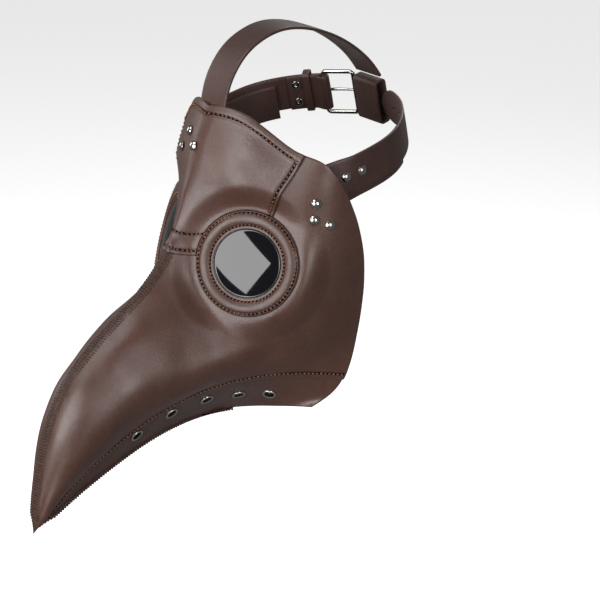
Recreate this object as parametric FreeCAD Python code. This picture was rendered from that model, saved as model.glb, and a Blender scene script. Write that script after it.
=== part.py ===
import FreeCAD, Part
import math
import os

# Plague doctor mask in soft leather: a hollow beak and face shell, round eye rings with dark
# lenses, a lacing of air eyelets under the jaw and a three-strap head harness with a pin buckle.
# Frame: origin at the centre of the wearer's head at eye level, +X to the wearer's left,
# the face looks along -Y, +Z up. Millimetres.

# ---------------------------------------------------------------- driving dimensions
LEATHER = 1.6                 # thickness of the shell leather
LAYER_GAP = 0.05              # air between two layers sewn together
LINING_GAP = 0.15             # air between the leather and its cloth lining
LINING = 1.1                  # thickness of the cloth lining
LAP = 1.75                    # height at which a lapped layer lies on the one below

EYE_CENTRE = (40.2, -68.0, -3.9)
EYE_TURN = 35.0               # degrees the eye plane is turned outwards from straight ahead
EYE_TIP = 17.0                # degrees the eye plane looks up
EYE_FLAT = (36.0, 52.0)       # the skin is flat inside the first radius, free past the second
RING_OUTER = 35.0
RING_INNER = 22.5
LENS_RADIUS = 24.6
LENS_HOLE = 25.0

RIDGE_WELT = 2.2              # radius of the rolled seam along the top of the beak
RIDGE_SINK = 0.2              # its centre lies this deep under the shell's inner face
KEEL_CORD = 1.5               # radius of the sewn seam under the beak
KEEL_LIFT = 0.4               # its centre lies this high over the keel line

STRAP_WIDTH = 25.0
STRAP_THICK = 2.0
STRAP_TILT = 12.0             # degrees the side straps rise towards the back of the head
STRAP_LEVEL = 54.7            # height of the side straps' centreline at Y = 0
STRAP_BACK = 74.0             # distance of the straps behind the head's centre, at the back
STRAP_PATH = [(72.5, -16.0), (73.8, 8.0), (69.5, 33.0), (53.0, 56.0), (32.0, 70.0), (13.0, STRAP_BACK)]
TUCK_END = 2.4                # index along the path at which the inner strap ends
RIVET_INDEXES = (0.12, 0.62)  # indices along the path of the two rivets through both straps
BUCKLE_BAR_X = 38.0           # distance of the buckle's heel bar from the middle of the back

CAP_RADIUS = 3.4              # rivet cap
CAP_SEAT = 0.4                # a temple rivet's cap stands this high over the curved leather
BROW_SEAT = 0.8               # a brow rivet's cap, and its burr under the lining, stand this far off
SHANK_RADIUS = 1.5
EYELET_RADIUS = 5.0
EYELET_BORE = 3.1

# Guide lines of the left half of the shell, from the beak's tip (first) to the rim (last).
# The first line is the middle of the face, the last one the keel seam and the throat edge.
GUIDES = [
    [(0, -217, -168), (0, -210, -132), (0, -195, -85), (0, -167, -52), (0, -135, -30),
     (0, -105, -1), (0, -88, 33), (0, -77, 62), (0, -65, 92)],
    [(1, -217, -168), (5, -210, -133), (9, -194, -87), (12, -165, -57), (14, -132, -36),
     (16, -96, -18), (24, -75, 21), (27, -67, 57), (26, -54, 88)],
    [(1.5, -217, -168), (8, -208, -136), (16, -191, -94), (20, -162, -66), (24, -128, -47),
     (29, -90, -34), (42, -63, 6), (50, -53, 42), (54, -39, 69)],
    [(2, -217, -168), (10, -207, -139), (20, -188, -103), (26, -159, -78), (31, -125, -60),
     (39, -86, -49), (58, -52, -14), (69, -38, 22), (73, -24, 57)],
    [(2, -217, -168), (10, -205, -142), (20, -185, -112), (26, -156, -90), (34, -123, -74),
     (45, -84, -63), (65, -50, -39), (76, -26, -14), (78, -4, 5)],
    [(1.5, -217, -168), (8, -203, -145), (16, -182, -121), (21, -153, -101), (29, -121, -87),
     (39, -84, -78), (57, -55, -64), (70, -28, -55), (75, -3, -48)],
    [(1, -216, -168), (5, -201, -149), (9, -179, -130), (14, -150, -112), (20, -119, -98),
     (28, -87, -90), (40, -61, -87), (54, -36, -88), (68, -10, -93)],
    [(0, -217, -169), (0, -201, -160), (0, -176, -148), (0, -148, -137), (0, -118, -128),
     (0, -86, -124), (0, -51, -127), (30, -37, -119), (55, -27, -113)],
]
RIM = 8.0                     # station of the rim
LAP_LINE = 6.0                # guide line where the cheek panel laps the gusset
KEEL_LINE = 7.0               # guide line of the keel seam and throat edge
THROAT = 6.0                  # station where the keel seam ends at the throat
SEAM_LINE = 2.2               # guide line where the forehead panel laps the cheek panel
SEAM_TAPER = 0.06             # part of its width the forehead panel loses towards the eyes

RIVET_SPOTS = [(7.37, 2.89), (7.13, 2.98), (7.34, 3.32)]
BROW_RIVET_SPOTS = [(7.38, -0.50), (7.15, -0.10), (7.04, -0.75)]     # on the wearer's right only
ROOT_FOOT = 7.5               # station of the lower end of the top strap's root, above the brow's rivets
EYELET_SPOTS = [(3.32, 6.42), (4.18, 6.44), (5.05, 6.50), (5.88, 6.56), (6.63, 6.60)]

V = FreeCAD.Vector


# ---------------------------------------------------------------- the shell as a surface
def bend_table(count):
    """Second derivatives of the natural cubic splines that are 1 at one knot and 0 at the others."""
    table = []
    for knot in range(count):
        value = [1.0 if i == knot else 0.0 for i in range(count)]
        slope = [0.0] * count
        rest = [0.0] * count
        for i in range(1, count - 1):
            pull = 6.0 * (value[i - 1] - 2.0 * value[i] + value[i + 1])
            divisor = 4.0 - slope[i - 1]
            slope[i] = 1.0 / divisor
            rest[i] = (pull - rest[i - 1]) / divisor
        bend = [0.0] * count
        for i in range(count - 2, 0, -1):
            bend[i] = rest[i] - slope[i] * bend[i + 1]
        table.append(bend)
    return table


def spline_weights(t, bends):
    """Weight of every knot at parameter t, from 0 at the first knot."""
    count = len(bends)
    i = max(0, min(int(t), count - 2))
    a = i + 1 - t
    b = t - i
    weights = []
    for knot in range(count):
        weight = ((a ** 3 - a) * bends[knot][i] + (b ** 3 - b) * bends[knot][i + 1]) / 6.0
        weight += a if knot == i else 0.0
        weight += b if knot == i + 1 else 0.0
        weights.append(weight)
    return weights


STATION_BENDS = bend_table(len(GUIDES[0]))
GUIDE_BENDS = bend_table(len(GUIDES))


def direction(turn, tip):
    """Unit vector that looks out of the face, turned outwards and tipped up."""
    turn = math.radians(turn)
    tip = math.radians(tip)
    return V(math.sin(turn) * math.cos(tip), -math.cos(turn) * math.cos(tip), math.sin(tip))


EYE = V(*EYE_CENTRE)
EYE_AXIS = direction(EYE_TURN, EYE_TIP)


def smooth(t):
    t = max(0.0, min(1.0, t))
    return t * t * (3.0 - 2.0 * t)


def skin(u, v):
    """Point of the shell's inner face: u runs from the beak's tip to the rim, v across the half."""
    by_station = spline_weights(u, STATION_BENDS)
    by_guide = spline_weights(abs(v), GUIDE_BENDS)
    point = V(0, 0, 0)
    for guide, across in zip(GUIDES, by_guide):
        for knot, along in zip(guide, by_station):
            point += V(*knot) * (across * along)
    lift = (point - EYE).dot(EYE_AXIS)
    reach = (point - EYE - EYE_AXIS * lift).Length
    point -= EYE_AXIS * (lift * smooth((EYE_FLAT[1] - reach) / (EYE_FLAT[1] - EYE_FLAT[0])))
    return V(-point.x, point.y, point.z) if v < 0 else point


def outward(u, v):
    """Unit normal of the shell, pointing out of the mask. The brow is rounded over the middle."""
    step = 0.02
    side = abs(v)
    along = skin(u + step, side) - skin(u - step, side)
    across = skin(u, side + step) - skin(u, max(0.0, side - step))
    normal = across.cross(along)
    brow = smooth((u - 5.0) / 0.4)
    normal.x *= 1.0 - brow * (1.0 - min(1.0, side / 0.3))
    normal.normalize()
    return V(-normal.x, normal.y, normal.z) if v < 0 else normal


def lifted(u, v, height):
    return skin(u, v) + outward(u, v) * height


def steps(start, stop, count):
    return [start + (stop - start) * i / (count - 1.0) for i in range(count)]


def slab(spots, low, high):
    """Closed solid between two heights over a grid of (u, v) spots."""
    faces = []
    sheets = []
    for height in (low, high):
        surface = Part.BSplineSurface()
        surface.interpolate([[lifted(u, v, height) for u, v in row] for row in spots])
        sheets.append(surface)
        faces.append(surface.toShape())
    first, last = sheets
    u0, u1, v0, v1 = first.bounds()
    for value in (u0, u1):
        faces.append(Part.makeRuledSurface(first.uIso(value).toShape(), last.uIso(value).toShape()))
    for value in (v0, v1):
        faces.append(Part.makeRuledSurface(first.vIso(value).toShape(), last.vIso(value).toShape()))
    shell = Part.Shell(faces)
    shell.sewShape()
    solid = Part.Solid(Part.Shell(shell.Faces))
    return solid if solid.Volume > 0 else solid.reversed()


def patch(us, vs):
    return [[(u, v) for v in vs] for u in us]


# ---------------------------------------------------------------- small helpers
def cylinder(base, axis, radius, length):
    return Part.makeCylinder(radius, length, base, axis)


def disc_stack(base, axis, outline):
    """Solid turned about an axis from (radius, height) points."""
    turned = Part.makePolygon([V(r, 0, h) for r, h in outline + outline[:1]])
    solid = Part.Face(turned).revolve(V(0, 0, 0), V(0, 0, 1), 360)
    solid.Placement = FreeCAD.Placement(base, FreeCAD.Rotation(V(0, 0, 1), axis))
    return solid


def mirrored(shape):
    return shape.mirror(V(0, 0, 0), V(1, 0, 0))


def tube(points, radius):
    """Round bar of one radius along a smooth curve."""
    curve = Part.BSplineCurve()
    curve.interpolate(points)
    start = curve.parameter(points[0])
    circle = Part.Wire(Part.Circle(points[0], curve.tangent(start)[0], radius).toShape())
    return Part.Wire(curve.toShape()).makePipeShell([circle], True, True)


def half_space(at, towards, size=800.0):
    """Big block on the side of a plane that the vector points to."""
    block = Part.makeBox(size, size, size, V(-size / 2, -size / 2, 0))
    block.Placement = FreeCAD.Placement(at, FreeCAD.Rotation(V(0, 0, 1), towards))
    return block


def one_solid(shape):
    return max(shape.Solids, key=lambda solid: solid.Volume)


# ---------------------------------------------------------------- leather shell
def eye_bore(radius, low=-12.0, high=12.0):
    return cylinder(EYE + EYE_AXIS * low, EYE_AXIS, radius, high - low)


def rivet_bores(radius, spots=RIVET_SPOTS):
    bores = []
    for u, v in spots:
        axis = outward(u, v)
        bores.append(cylinder(skin(u, v) - axis * 6.0, axis, radius, 12.0))
    return Part.makeCompound(bores)


def hem(v):
    """Station of the forehead panel's lower edge, which crosses the nose bridge level."""
    side = abs(v)
    return 5.08 + 0.45 * side * side / (side + 0.12)


def forehead_spots(bottom, top, width, rows=23, columns=35):
    """Grid over the brow, from a height above the hem to a station near the rim."""
    grid = []
    for s in steps(0.0, 1.0, rows):
        row = []
        for v in steps(-width, width, columns):
            low = max(hem(v), bottom)
            u = low + s * (top - low)
            row.append((u, v * (1.0 - SEAM_TAPER * smooth(7.8 - u))))
        grid.append(row)
    return grid


def forehead_panel():
    panel = slab(forehead_spots(0.0, RIM, SEAM_LINE), LAP, LAP + LEATHER)
    panel = panel.cut(tube(ridge_points(), RIDGE_WELT + LAYER_GAP))
    for bore in (eye_bore(RING_OUTER + 0.4), mirrored(eye_bore(RING_OUTER + 0.4))):
        panel = panel.cut(bore)
    return one_solid(panel.cut(rivet_bores(SHANK_RADIUS + LAYER_GAP, BROW_RIVET_SPOTS)))


def forehead_lining():
    top = LAP - LINING_GAP
    lining = slab(forehead_spots(5.95, RIM - 0.05, 1.85), top - LINING, top)
    for bore in (eye_bore(RING_OUTER + 3.0), mirrored(eye_bore(RING_OUTER + 3.0))):
        lining = lining.cut(bore)
    return one_solid(lining.cut(rivet_bores(SHANK_RADIUS + LAYER_GAP, BROW_RIVET_SPOTS)))


def forehead_edge_strip():
    height = LAP + LEATHER + LAYER_GAP
    return slab(patch(steps(RIM - 0.2, RIM, 5), steps(-2.1, 2.1, 27)), height, height + 0.8)


def ridge_points():
    """Centreline of the ridge welt, in the middle plane."""
    points = []
    for u in steps(0.1, 5.25, 12):
        up = outward(u, 0.02)
        up.x = 0.0
        points.append(skin(u, 0) - up * RIDGE_SINK)
    return points


def ridge_welt():
    return tube(ridge_points(), RIDGE_WELT)


def keel_points():
    return [skin(u, KEEL_LINE) + V(0, 0, KEEL_LIFT) for u in steps(0.55, THROAT, 11)]


def keel_cord():
    return tube(keel_points(), KEEL_CORD - LAYER_GAP)


def brow_clearing():
    """Block that takes the cheek pieces away from under the forehead panel, all but a margin."""
    margin = 0.27
    grid = []
    for s in steps(0.0, 1.0, 16):
        grid.append([(hem(v) + margin + s * (RIM + 0.2 - hem(v) - margin), v)
                     for v in steps(-0.6, SEAM_LINE - 0.3, 14)])
    return slab(grid, -5.0, 6.0)


def cheek_panel():
    panel = slab(patch(steps(0.3, RIM, 38), steps(0.0, LAP_LINE, 29)), 0.0, LEATHER)
    panel = panel.cut(brow_clearing()).cut(half_space(V(1.2, 0, 0), V(-1, 0, 0)))
    panel = panel.cut(tube(ridge_points(), RIDGE_WELT + LAYER_GAP))
    return one_solid(panel.cut(eye_bore(LENS_HOLE)).cut(rivet_bores(SHANK_RADIUS + LAYER_GAP)))


def cheek_lining():
    lining = slab(patch(steps(1.2, 6.8, 30), steps(0.25, LAP_LINE - 0.4, 27)),
                  -LINING_GAP - LINING, -LINING_GAP)
    lining = lining.cut(brow_clearing()).cut(half_space(V(3.2, 0, 0), V(-1, 0, 0)))
    return one_solid(lining.cut(eye_bore(RING_OUTER - 5.0)))


def chin_gusset():
    gusset = slab(patch(steps(0.6, RIM, 32), steps(LAP_LINE - 0.25, KEEL_LINE, 8)),
                  -LAYER_GAP - LEATHER, -LAYER_GAP)
    gusset = gusset.cut(half_space(V(0.7, 0, 0), V(-1, 0, 0)))
    gusset = gusset.cut(tube(keel_points(), KEEL_CORD + LAYER_GAP))
    for u, v in EYELET_SPOTS:
        axis = outward(u, v)
        gusset = gusset.cut(cylinder(skin(u, v) - axis * 4.0, axis, EYELET_BORE + 1.0, 8.0))
    return one_solid(gusset)


# ---------------------------------------------------------------- eye pieces
def on_eye(outline):
    return disc_stack(EYE, EYE_AXIS, outline)


def eye_ring():
    base = LEATHER + 0.15
    return on_eye([(RING_INNER, base), (RING_OUTER, base), (RING_OUTER, base + 1.6),
                   (RING_OUTER - 0.8, base + 2.3), (30.5, base + 2.7), (27.0, base + 2.0),
                   (25.0, base + 2.9), (23.2, base + 3.0), (RING_INNER, base + 2.2)])


def lens():
    """Dark glass dome that shows through the ring, seated in the leather's hole."""
    rim = 21.8
    rise = 2.6
    radius = (rim * rim + rise * rise) / (2.0 * rise)
    seat = LEATHER + 0.05
    top = seat + 0.9
    outline = [(0.0, -0.3), (LENS_RADIUS, -0.3), (LENS_RADIUS, seat), (rim, seat), (rim, top)]
    for angle in steps(math.asin(rim / radius), 0.0, 9)[1:]:
        outline.append((radius * math.sin(angle), top + rise - radius + radius * math.cos(angle)))
    return on_eye(outline)


def lens_retainer():
    return on_eye([(20.5, -2.0), (29.0, -2.0), (29.0, -LAYER_GAP), (LENS_HOLE + 0.3, -LAYER_GAP),
                   (LENS_HOLE + 0.3, -0.35), (20.5, -0.35)])


# ---------------------------------------------------------------- rivets and eyelets
def rivet(seat, axis, grip):
    """Domed rivet: cap outside, shank through the leather, flat burr inside."""
    dome = [(0, 1.9), (1.4, 1.7), (2.5, 1.15), (CAP_RADIUS, 0.25), (CAP_RADIUS, 0.0)]
    shank = [(SHANK_RADIUS, 0.0), (SHANK_RADIUS, -grip), (3.0, -grip), (3.0, -grip - 0.7),
             (0, -grip - 0.7)]
    return disc_stack(seat, axis, dome + shank)


def temple_rivets():
    seat = LEATHER + CAP_SEAT
    return Part.makeCompound([rivet(lifted(u, v, seat), outward(u, v), seat + STRAP_THICK + 0.4)
                              for u, v in RIVET_SPOTS])


def brow_rivets():
    """Three rivets high on the right of the brow, through the panel and its lining."""
    seat = LAP + LEATHER + BROW_SEAT
    grip = BROW_SEAT + LEATHER + LINING_GAP + LINING + BROW_SEAT
    return Part.makeCompound([rivet(lifted(u, v, seat), outward(u, v), grip)
                              for u, v in BROW_RIVET_SPOTS])


def vent_eyelets():
    rings = []
    bore = EYELET_BORE
    wall = bore + 0.9
    top = 0.35
    back = -LEATHER - 0.45
    outline = [(bore, back - 0.5), (EYELET_RADIUS - 0.8, back - 0.5), (EYELET_RADIUS - 0.8, back),
               (wall, back), (wall, top), (EYELET_RADIUS, top), (EYELET_RADIUS - 0.3, top + 0.6),
               (wall + 0.2, top + 1.0), (bore, top + 0.5)]
    for u, v in EYELET_SPOTS:
        rings.append(disc_stack(skin(u, v), outward(u, v), outline))
    return Part.makeCompound(rings)


# ---------------------------------------------------------------- side straps
STRAP_RUN = V(0, math.cos(math.radians(STRAP_TILT)), math.sin(math.radians(STRAP_TILT)))
STRAP_RISE = V(0, -math.sin(math.radians(STRAP_TILT)), math.cos(math.radians(STRAP_TILT)))
STRAP_ORIGIN = V(0, 0, STRAP_LEVEL)
PATH_BENDS = bend_table(len(STRAP_PATH))


def harness(x, run, rise=0.0):
    """Point in the tilted plane of the side straps."""
    return STRAP_ORIGIN + V(1, 0, 0) * x + STRAP_RUN * run + STRAP_RISE * rise


def path_point(t, out=0.0):
    """Left side strap seen square to its plane, a distance outside the middle of its thickness."""
    def at(s):
        weights = spline_weights(s, PATH_BENDS)
        return (sum(w * p[0] for w, p in zip(weights, STRAP_PATH)),
                sum(w * p[1] for w, p in zip(weights, STRAP_PATH)))
    before = at(t - 0.02)
    after = at(t + 0.02)
    x, run = at(t)
    dx = after[0] - before[0]
    dr = after[1] - before[1]
    length = math.hypot(dx, dr)
    return x + out * dr / length, run - out * dx / length


def layer(spots, thick, bottom, top):
    """Strap layer along the left path through (index, distance outside the middle) spots."""
    edges = []
    ends = []
    for rise in (0.0, thick):
        points = [harness(*path_point(t, low + rise), bottom) for t, low in spots]
        curve = Part.BSplineCurve()
        curve.interpolate(points)
        edges.append(curve.toShape())
        ends.append(points)
    closing = [Part.makeLine(ends[0][0], ends[1][0]), Part.makeLine(ends[0][-1], ends[1][-1])]
    outline = Part.Wire(Part.__sortEdges__(edges + closing))
    return Part.Face(outline).extrude(STRAP_RISE * (top - bottom))


def band(start, stop, low, high, bottom, top):
    """Strap layer of even thickness between two indices of the path."""
    return layer([(t, low) for t in steps(start, stop, 17)], high - low, bottom, top)


HALF = STRAP_WIDTH / 2.0
HOLE_COUNT = 5                # buckle holes of the left strap
HOLE_FIRST = 14.0             # distance of the first hole from the tip
HOLE_PITCH = 9.0
HOLE_RADIUS = 1.6
TUCK_DROP = 5.0               # the inner strap hangs this much lower than the outer one
HINGE_TOP = V(72.6, -22.0, 60.0)      # line where the straps flex, just behind the panel's edge
HINGE_FOOT = V(76.6, -7.5, 28.0)


def behind_hinge(gap=0.0):
    """Everything behind the slanted line where a side strap leaves the mask."""
    line = HINGE_TOP - HINGE_FOOT
    towards = line.cross(V(1, 0, 0))
    towards.normalize()
    if towards.y < 0:
        towards = towards * -1.0
    return half_space(HINGE_FOOT + towards * gap, towards)


def strap_holes(radius):
    """Middle, direction and bore of every rivet through the outer and the inner strap."""
    bores = []
    for t in RIVET_INDEXES:
        middle = harness(*path_point(t))
        axis = harness(*path_point(t, 1.0)) - middle
        bores.append((middle, axis, cylinder(middle - axis * 8.0, axis, radius, 16.0)))
    return bores


def pointed_strap():
    """Left strap: its free end is a rounded point with five buckle holes."""
    strap = band(-0.4, 5.0, LAYER_GAP, STRAP_THICK, -HALF, HALF).common(behind_hinge(0.2))
    for _, _, bore in strap_holes(SHANK_RADIUS + LAYER_GAP):
        strap = strap.cut(bore)
    tip_x = STRAP_PATH[-1][0]
    ahead = STRAP_BACK - 25.0
    for flip in (1, -1):
        corner = Part.makePolygon([harness(tip_x + 11.0, ahead, flip * (HALF + 1.0)),
                                   harness(tip_x - 3.0, ahead, flip * (HALF + 1.0)),
                                   harness(tip_x - 3.0, ahead, flip * 2.0),
                                   harness(tip_x + 11.0, ahead, flip * (HALF + 1.0))])
        strap = strap.cut(Part.Face(corner).extrude(STRAP_RUN * 40.0))
    for i in range(HOLE_COUNT):
        hole_x = tip_x + HOLE_FIRST + HOLE_PITCH * i
        strap = strap.cut(cylinder(harness(hole_x, ahead - 10.0), STRAP_RUN, HOLE_RADIUS, 45.0))
    return one_solid(strap)


def inner_strap():
    strap = band(-0.4, TUCK_END, -STRAP_THICK, -LAYER_GAP, -HALF - TUCK_DROP, HALF - TUCK_DROP)
    strap = strap.common(behind_hinge(0.2))
    for _, _, bore in strap_holes(SHANK_RADIUS + LAYER_GAP):
        strap = strap.cut(bore)
    return one_solid(strap)


def strap_rivets():
    seats = []
    for middle, axis, _ in strap_holes(SHANK_RADIUS):
        seats.append(rivet(middle + axis * (STRAP_THICK + 0.15), axis, 2 * STRAP_THICK + 0.3))
    return Part.makeCompound(seats)


def anchor_tab():
    """End of the side strap inside the mask, held by the three temple rivets."""
    sheet = slab(patch(steps(6.85, RIM, 10), steps(2.1, 4.0, 10)), -STRAP_THICK - 0.15, -0.15)
    heel = skin(7.22, 3.06)
    line = harness(*STRAP_PATH[0], -2.5) - heel
    side = outward(7.3, 3.06)
    across = side.cross(line)
    across.normalize()
    line.normalize()
    lift = line.cross(across)
    corner = heel - line * 9.0 - across * HALF - lift * 15.0
    box = turned_box([60.0, STRAP_WIDTH, 30.0], corner, line, across, lift)
    tab = sheet.common(box).cut(behind_hinge(-0.4))
    return one_solid(tab.cut(rivet_bores(SHANK_RADIUS + LAYER_GAP)))


# ---------------------------------------------------------------- buckle
# The buckle side is drawn on the left like the other strap and mirrored when it is written.
BAR_RADIUS = 1.5
FOLD_INNER = 1.95             # radius of the strap's bend round the heel bar
FOLD_OUTER = FOLD_INNER + STRAP_THICK
FOLD_RETURN = 1.0             # length of the strap folded back, as a part of the path's index
BAR_DROP = LAYER_GAP - FOLD_INNER
PRONG_SLOT = 2.6              # half width of the slot for the prong


def bar_index():
    low, high = 3.0, 5.0
    for _ in range(40):
        middle = (low + high) / 2.0
        low, high = (middle, high) if path_point(middle)[0] > BUCKLE_BAR_X else (low, middle)
    return low


BAR_INDEX = bar_index()
BAR = harness(*path_point(BAR_INDEX, BAR_DROP))
BAR_OUT = harness(*path_point(BAR_INDEX, 1.0)) - harness(*path_point(BAR_INDEX, 0.0))
BAR_AHEAD = BAR_OUT.cross(STRAP_RISE) * -1.0


def buckle_box(ahead, out, rise):
    """Block beside the heel bar, from (low, high) spans along the strap, outwards and up."""
    corner = BAR + BAR_AHEAD * ahead[0] + BAR_OUT * out[0] + STRAP_RISE * rise[0]
    return turned_box([ahead[1] - ahead[0], rise[1] - rise[0], out[1] - out[0]], corner,
                      BAR_AHEAD, STRAP_RISE, BAR_OUT)


def turned_box(size, corner, a, b, c):
    """Block from one corner along three right-handed directions."""
    block = Part.makeBox(*size)
    turn = FreeCAD.Matrix(a.x, b.x, c.x, corner.x, a.y, b.y, c.y, corner.y,
                          a.z, b.z, c.z, corner.z, 0, 0, 0, 1)
    block.Placement = FreeCAD.Placement(turn)
    return block


def bar_cylinder(radius, half_length):
    return cylinder(BAR - STRAP_RISE * half_length, STRAP_RISE, radius, 2 * half_length)


def buckle_strap():
    """Strap whose end folds round the heel bar and is riveted back on itself inside."""
    strap = band(-0.4, BAR_INDEX, LAYER_GAP, STRAP_THICK + LAYER_GAP, -HALF, HALF)
    strap = strap.common(behind_hinge(0.2))
    back = [(t, BAR_DROP - FOLD_OUTER + 2.0 * FOLD_INNER * 0.92 * smooth((BAR_INDEX - t) / 0.4))
            for t in steps(BAR_INDEX, BAR_INDEX - FOLD_RETURN, 17)]
    fold = bar_cylinder(FOLD_OUTER, HALF).common(buckle_box((0.0, 9.0), (-9.0, 9.0), (-HALF, HALF)))
    fold = fold.cut(bar_cylinder(FOLD_INNER, HALF + 1.0))
    strap = strap.fuse([layer(back, STRAP_THICK, -HALF, HALF), fold]).removeSplitter()
    strap = strap.cut(buckle_box((-7.0, 6.0), (-9.0, 9.0), (-PRONG_SLOT, PRONG_SLOT)))
    for _, _, bore in strap_holes(SHANK_RADIUS + LAYER_GAP) + fold_rivet_holes():
        strap = strap.cut(bore)
    return strap


def fold_rivet_holes():
    t = BAR_INDEX - 0.78
    axis = harness(*path_point(t, 1.0)) - harness(*path_point(t, 0.0))
    holes = []
    for rise in (-6.5, 6.5):
        middle = harness(*path_point(t), rise)
        bore = cylinder(middle - axis * 8.0, axis, SHANK_RADIUS + LAYER_GAP, 16.0)
        holes.append((middle, axis, bore))
    return holes


def fold_rivets():
    return Part.makeCompound([rivet(middle + axis * (STRAP_THICK + 0.2), axis, 2 * STRAP_THICK + 0.9)
                              for middle, axis, _ in fold_rivet_holes()])


def keeper_loop():
    """Fixed loop sewn round the buckle end; the tail of the other strap tucks into it."""
    t = BAR_INDEX - 0.5
    out = harness(*path_point(t, 1.0)) - harness(*path_point(t, 0.0))
    ahead = out.cross(STRAP_RISE) * -1.0
    wall = 1.5
    below = 2.6
    above = STRAP_THICK + 2.9
    height = HALF + 0.6
    corner = harness(*path_point(t), -height) - ahead * 3.0 - out * below
    hollow = turned_box([6.0, 2 * height, below + above], corner, ahead, STRAP_RISE, out)
    corner = corner + ahead * 0.5 - out * wall - STRAP_RISE * wall
    outer = turned_box([5.0, 2 * (height + wall), below + above + 2 * wall], corner,
                       ahead, STRAP_RISE, out)
    return outer.cut(hollow)


def buckle_frame():
    """Rounded frame in one piece with its heel bar."""
    length = 24.0
    side = 14.0                   # clear half height of the frame
    wire = 3.0
    plate = buckle_box((-BAR_RADIUS, length), (-1.3, 1.3), (-side - wire, side + wire))
    corners = [edge for edge in plate.Edges
               if abs((edge.Vertexes[0].Point - edge.Vertexes[-1].Point).dot(BAR_OUT)) > 2.5]
    plate = plate.makeFillet(1.4, corners)
    opening = buckle_box((-5.0, length - wire), (-5.0, 5.0), (-side, side))
    return plate.cut(opening).fuse(bar_cylinder(BAR_RADIUS, side + 1.0)).removeSplitter()


def buckle_prong():
    """Pin that turns on the heel bar and rests on the front of the frame."""
    bore = BAR_RADIUS + 0.08
    eye = bar_cylinder(bore + 1.2, 1.8)
    root = BAR + BAR_OUT * (bore + 0.3)
    tip = BAR + BAR_AHEAD * 23.6 + BAR_OUT * 2.9
    line = tip - root
    length = line.Length
    line.normalize()
    pin = cylinder(root, line, 1.1, length)
    return eye.fuse(pin).cut(bar_cylinder(bore, 4.0)).removeSplitter()


# ---------------------------------------------------------------- top strap
CROWN_PATH = [(-63.2, 96.4), (-58.0, 108.5), (-50.0, 120.0), (-38.0, 129.5), (-19.0, 135.5),
              (2.0, 134.0), (24.0, 126.5), (44.0, 115.0), (60.0, 101.5), (70.0, 89.0)]


def ribbon(points, thick, half_width):
    """Strap square to X along a smooth line of (y, z) points, thickened outwards."""
    curve = Part.BSplineCurve()
    curve.interpolate([V(0, y, z) for y, z in points])
    first, last = curve.FirstParameter, curve.LastParameter
    sides = []
    for offset in (0.0, thick):
        line = []
        for t in steps(first, last, 25):
            tangent = curve.tangent(t)[0]
            normal = V(0, -tangent.z, tangent.y)
            line.append(curve.value(t) + normal * offset - V(half_width, 0, 0))
        edge = Part.BSplineCurve()
        edge.interpolate(line)
        sides.append((edge.toShape(), line[0], line[-1]))
    ends = [Part.makeLine(sides[0][1], sides[1][1]), Part.makeLine(sides[0][2], sides[1][2])]
    outline = Part.Wire(Part.__sortEdges__([sides[0][0], sides[1][0]] + ends))
    return Part.Face(outline).extrude(V(2 * half_width, 0, 0))


def top_strap():
    return ribbon(CROWN_PATH, STRAP_THICK, HALF)


def strap_loop():
    """Leather loop riveted to the top strap's end: the side straps pass through it."""
    thick = 1.8
    inner_high = 6.5              # room for both side straps
    height = STRAP_WIDTH + 4.0
    outer = loop_block(-thick, inner_high + thick, -height / 2 - thick, height / 2 + thick, HALF - 1.0)
    hollow = loop_block(0.0, inner_high, -height / 2, height / 2, HALF + 1.0)
    return outer.cut(hollow)


def loop_block(low, high, foot, head, half_width):
    """Block across the middle of the back, between two distances behind the straps' line."""
    corner = harness(-half_width, STRAP_BACK - 1.5 + low, foot)
    return turned_box([2 * half_width, high - low, head - foot], corner, V(1, 0, 0), STRAP_RUN,
                      STRAP_RISE)


def top_anchor():
    """Root of the top strap, sewn inside the forehead and bent over its middle."""
    height = LAP - LINING_GAP - LINING - LAYER_GAP
    root = slab(patch(steps(ROOT_FOOT, RIM, 6), steps(-0.8, 0.8, 17)), height - STRAP_THICK, height)
    return root.common(Part.makeBox(STRAP_WIDTH, 200.0, 200.0, V(-HALF, -150.0, 0.0)))


# ---------------------------------------------------------------- build
def build():
    parts = {
        "forehead_panel": forehead_panel(),
        "forehead_lining": forehead_lining(),
        "forehead_edge_strip": forehead_edge_strip(),
        "brow_rivets": brow_rivets(),
        "ridge_welt": ridge_welt(),
        "keel_seam_cord": keel_cord(),
        "top_strap_anchor": top_anchor(),
        "top_strap": top_strap(),
        "top_strap_loop": strap_loop(),
        "side_strap_left": pointed_strap(),
        "side_strap_right": mirrored(buckle_strap()),
        "buckle_frame": mirrored(buckle_frame()),
        "buckle_prong": mirrored(buckle_prong()),
        "buckle_fold_rivets": mirrored(fold_rivets()),
        "keeper_loop": mirrored(keeper_loop()),
    }
    pairs = {
        "cheek_panel": cheek_panel(),
        "cheek_lining": cheek_lining(),
        "chin_gusset": chin_gusset(),
        "eye_ring": eye_ring(),
        "lens": lens(),
        "lens_retainer": lens_retainer(),
        "temple_rivets": temple_rivets(),
        "vent_eyelets": vent_eyelets(),
        "anchor_tab": anchor_tab(),
        "inner_strap": inner_strap(),
        "strap_rivets": strap_rivets(),
    }
    for name, shape in pairs.items():
        parts[name + "_left"] = shape
        parts[name + "_right"] = mirrored(shape)
    return parts


os.makedirs("parts", exist_ok=True)
for name, shape in build().items():
    shape.exportStep(os.path.join("parts", name + ".step"))
    print(name, len(shape.Solids), round(shape.Volume), shape.isValid())
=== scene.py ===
import math

import bpy
import numpy as np
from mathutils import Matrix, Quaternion, Vector
from mathutils.kdtree import KDTree


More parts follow.
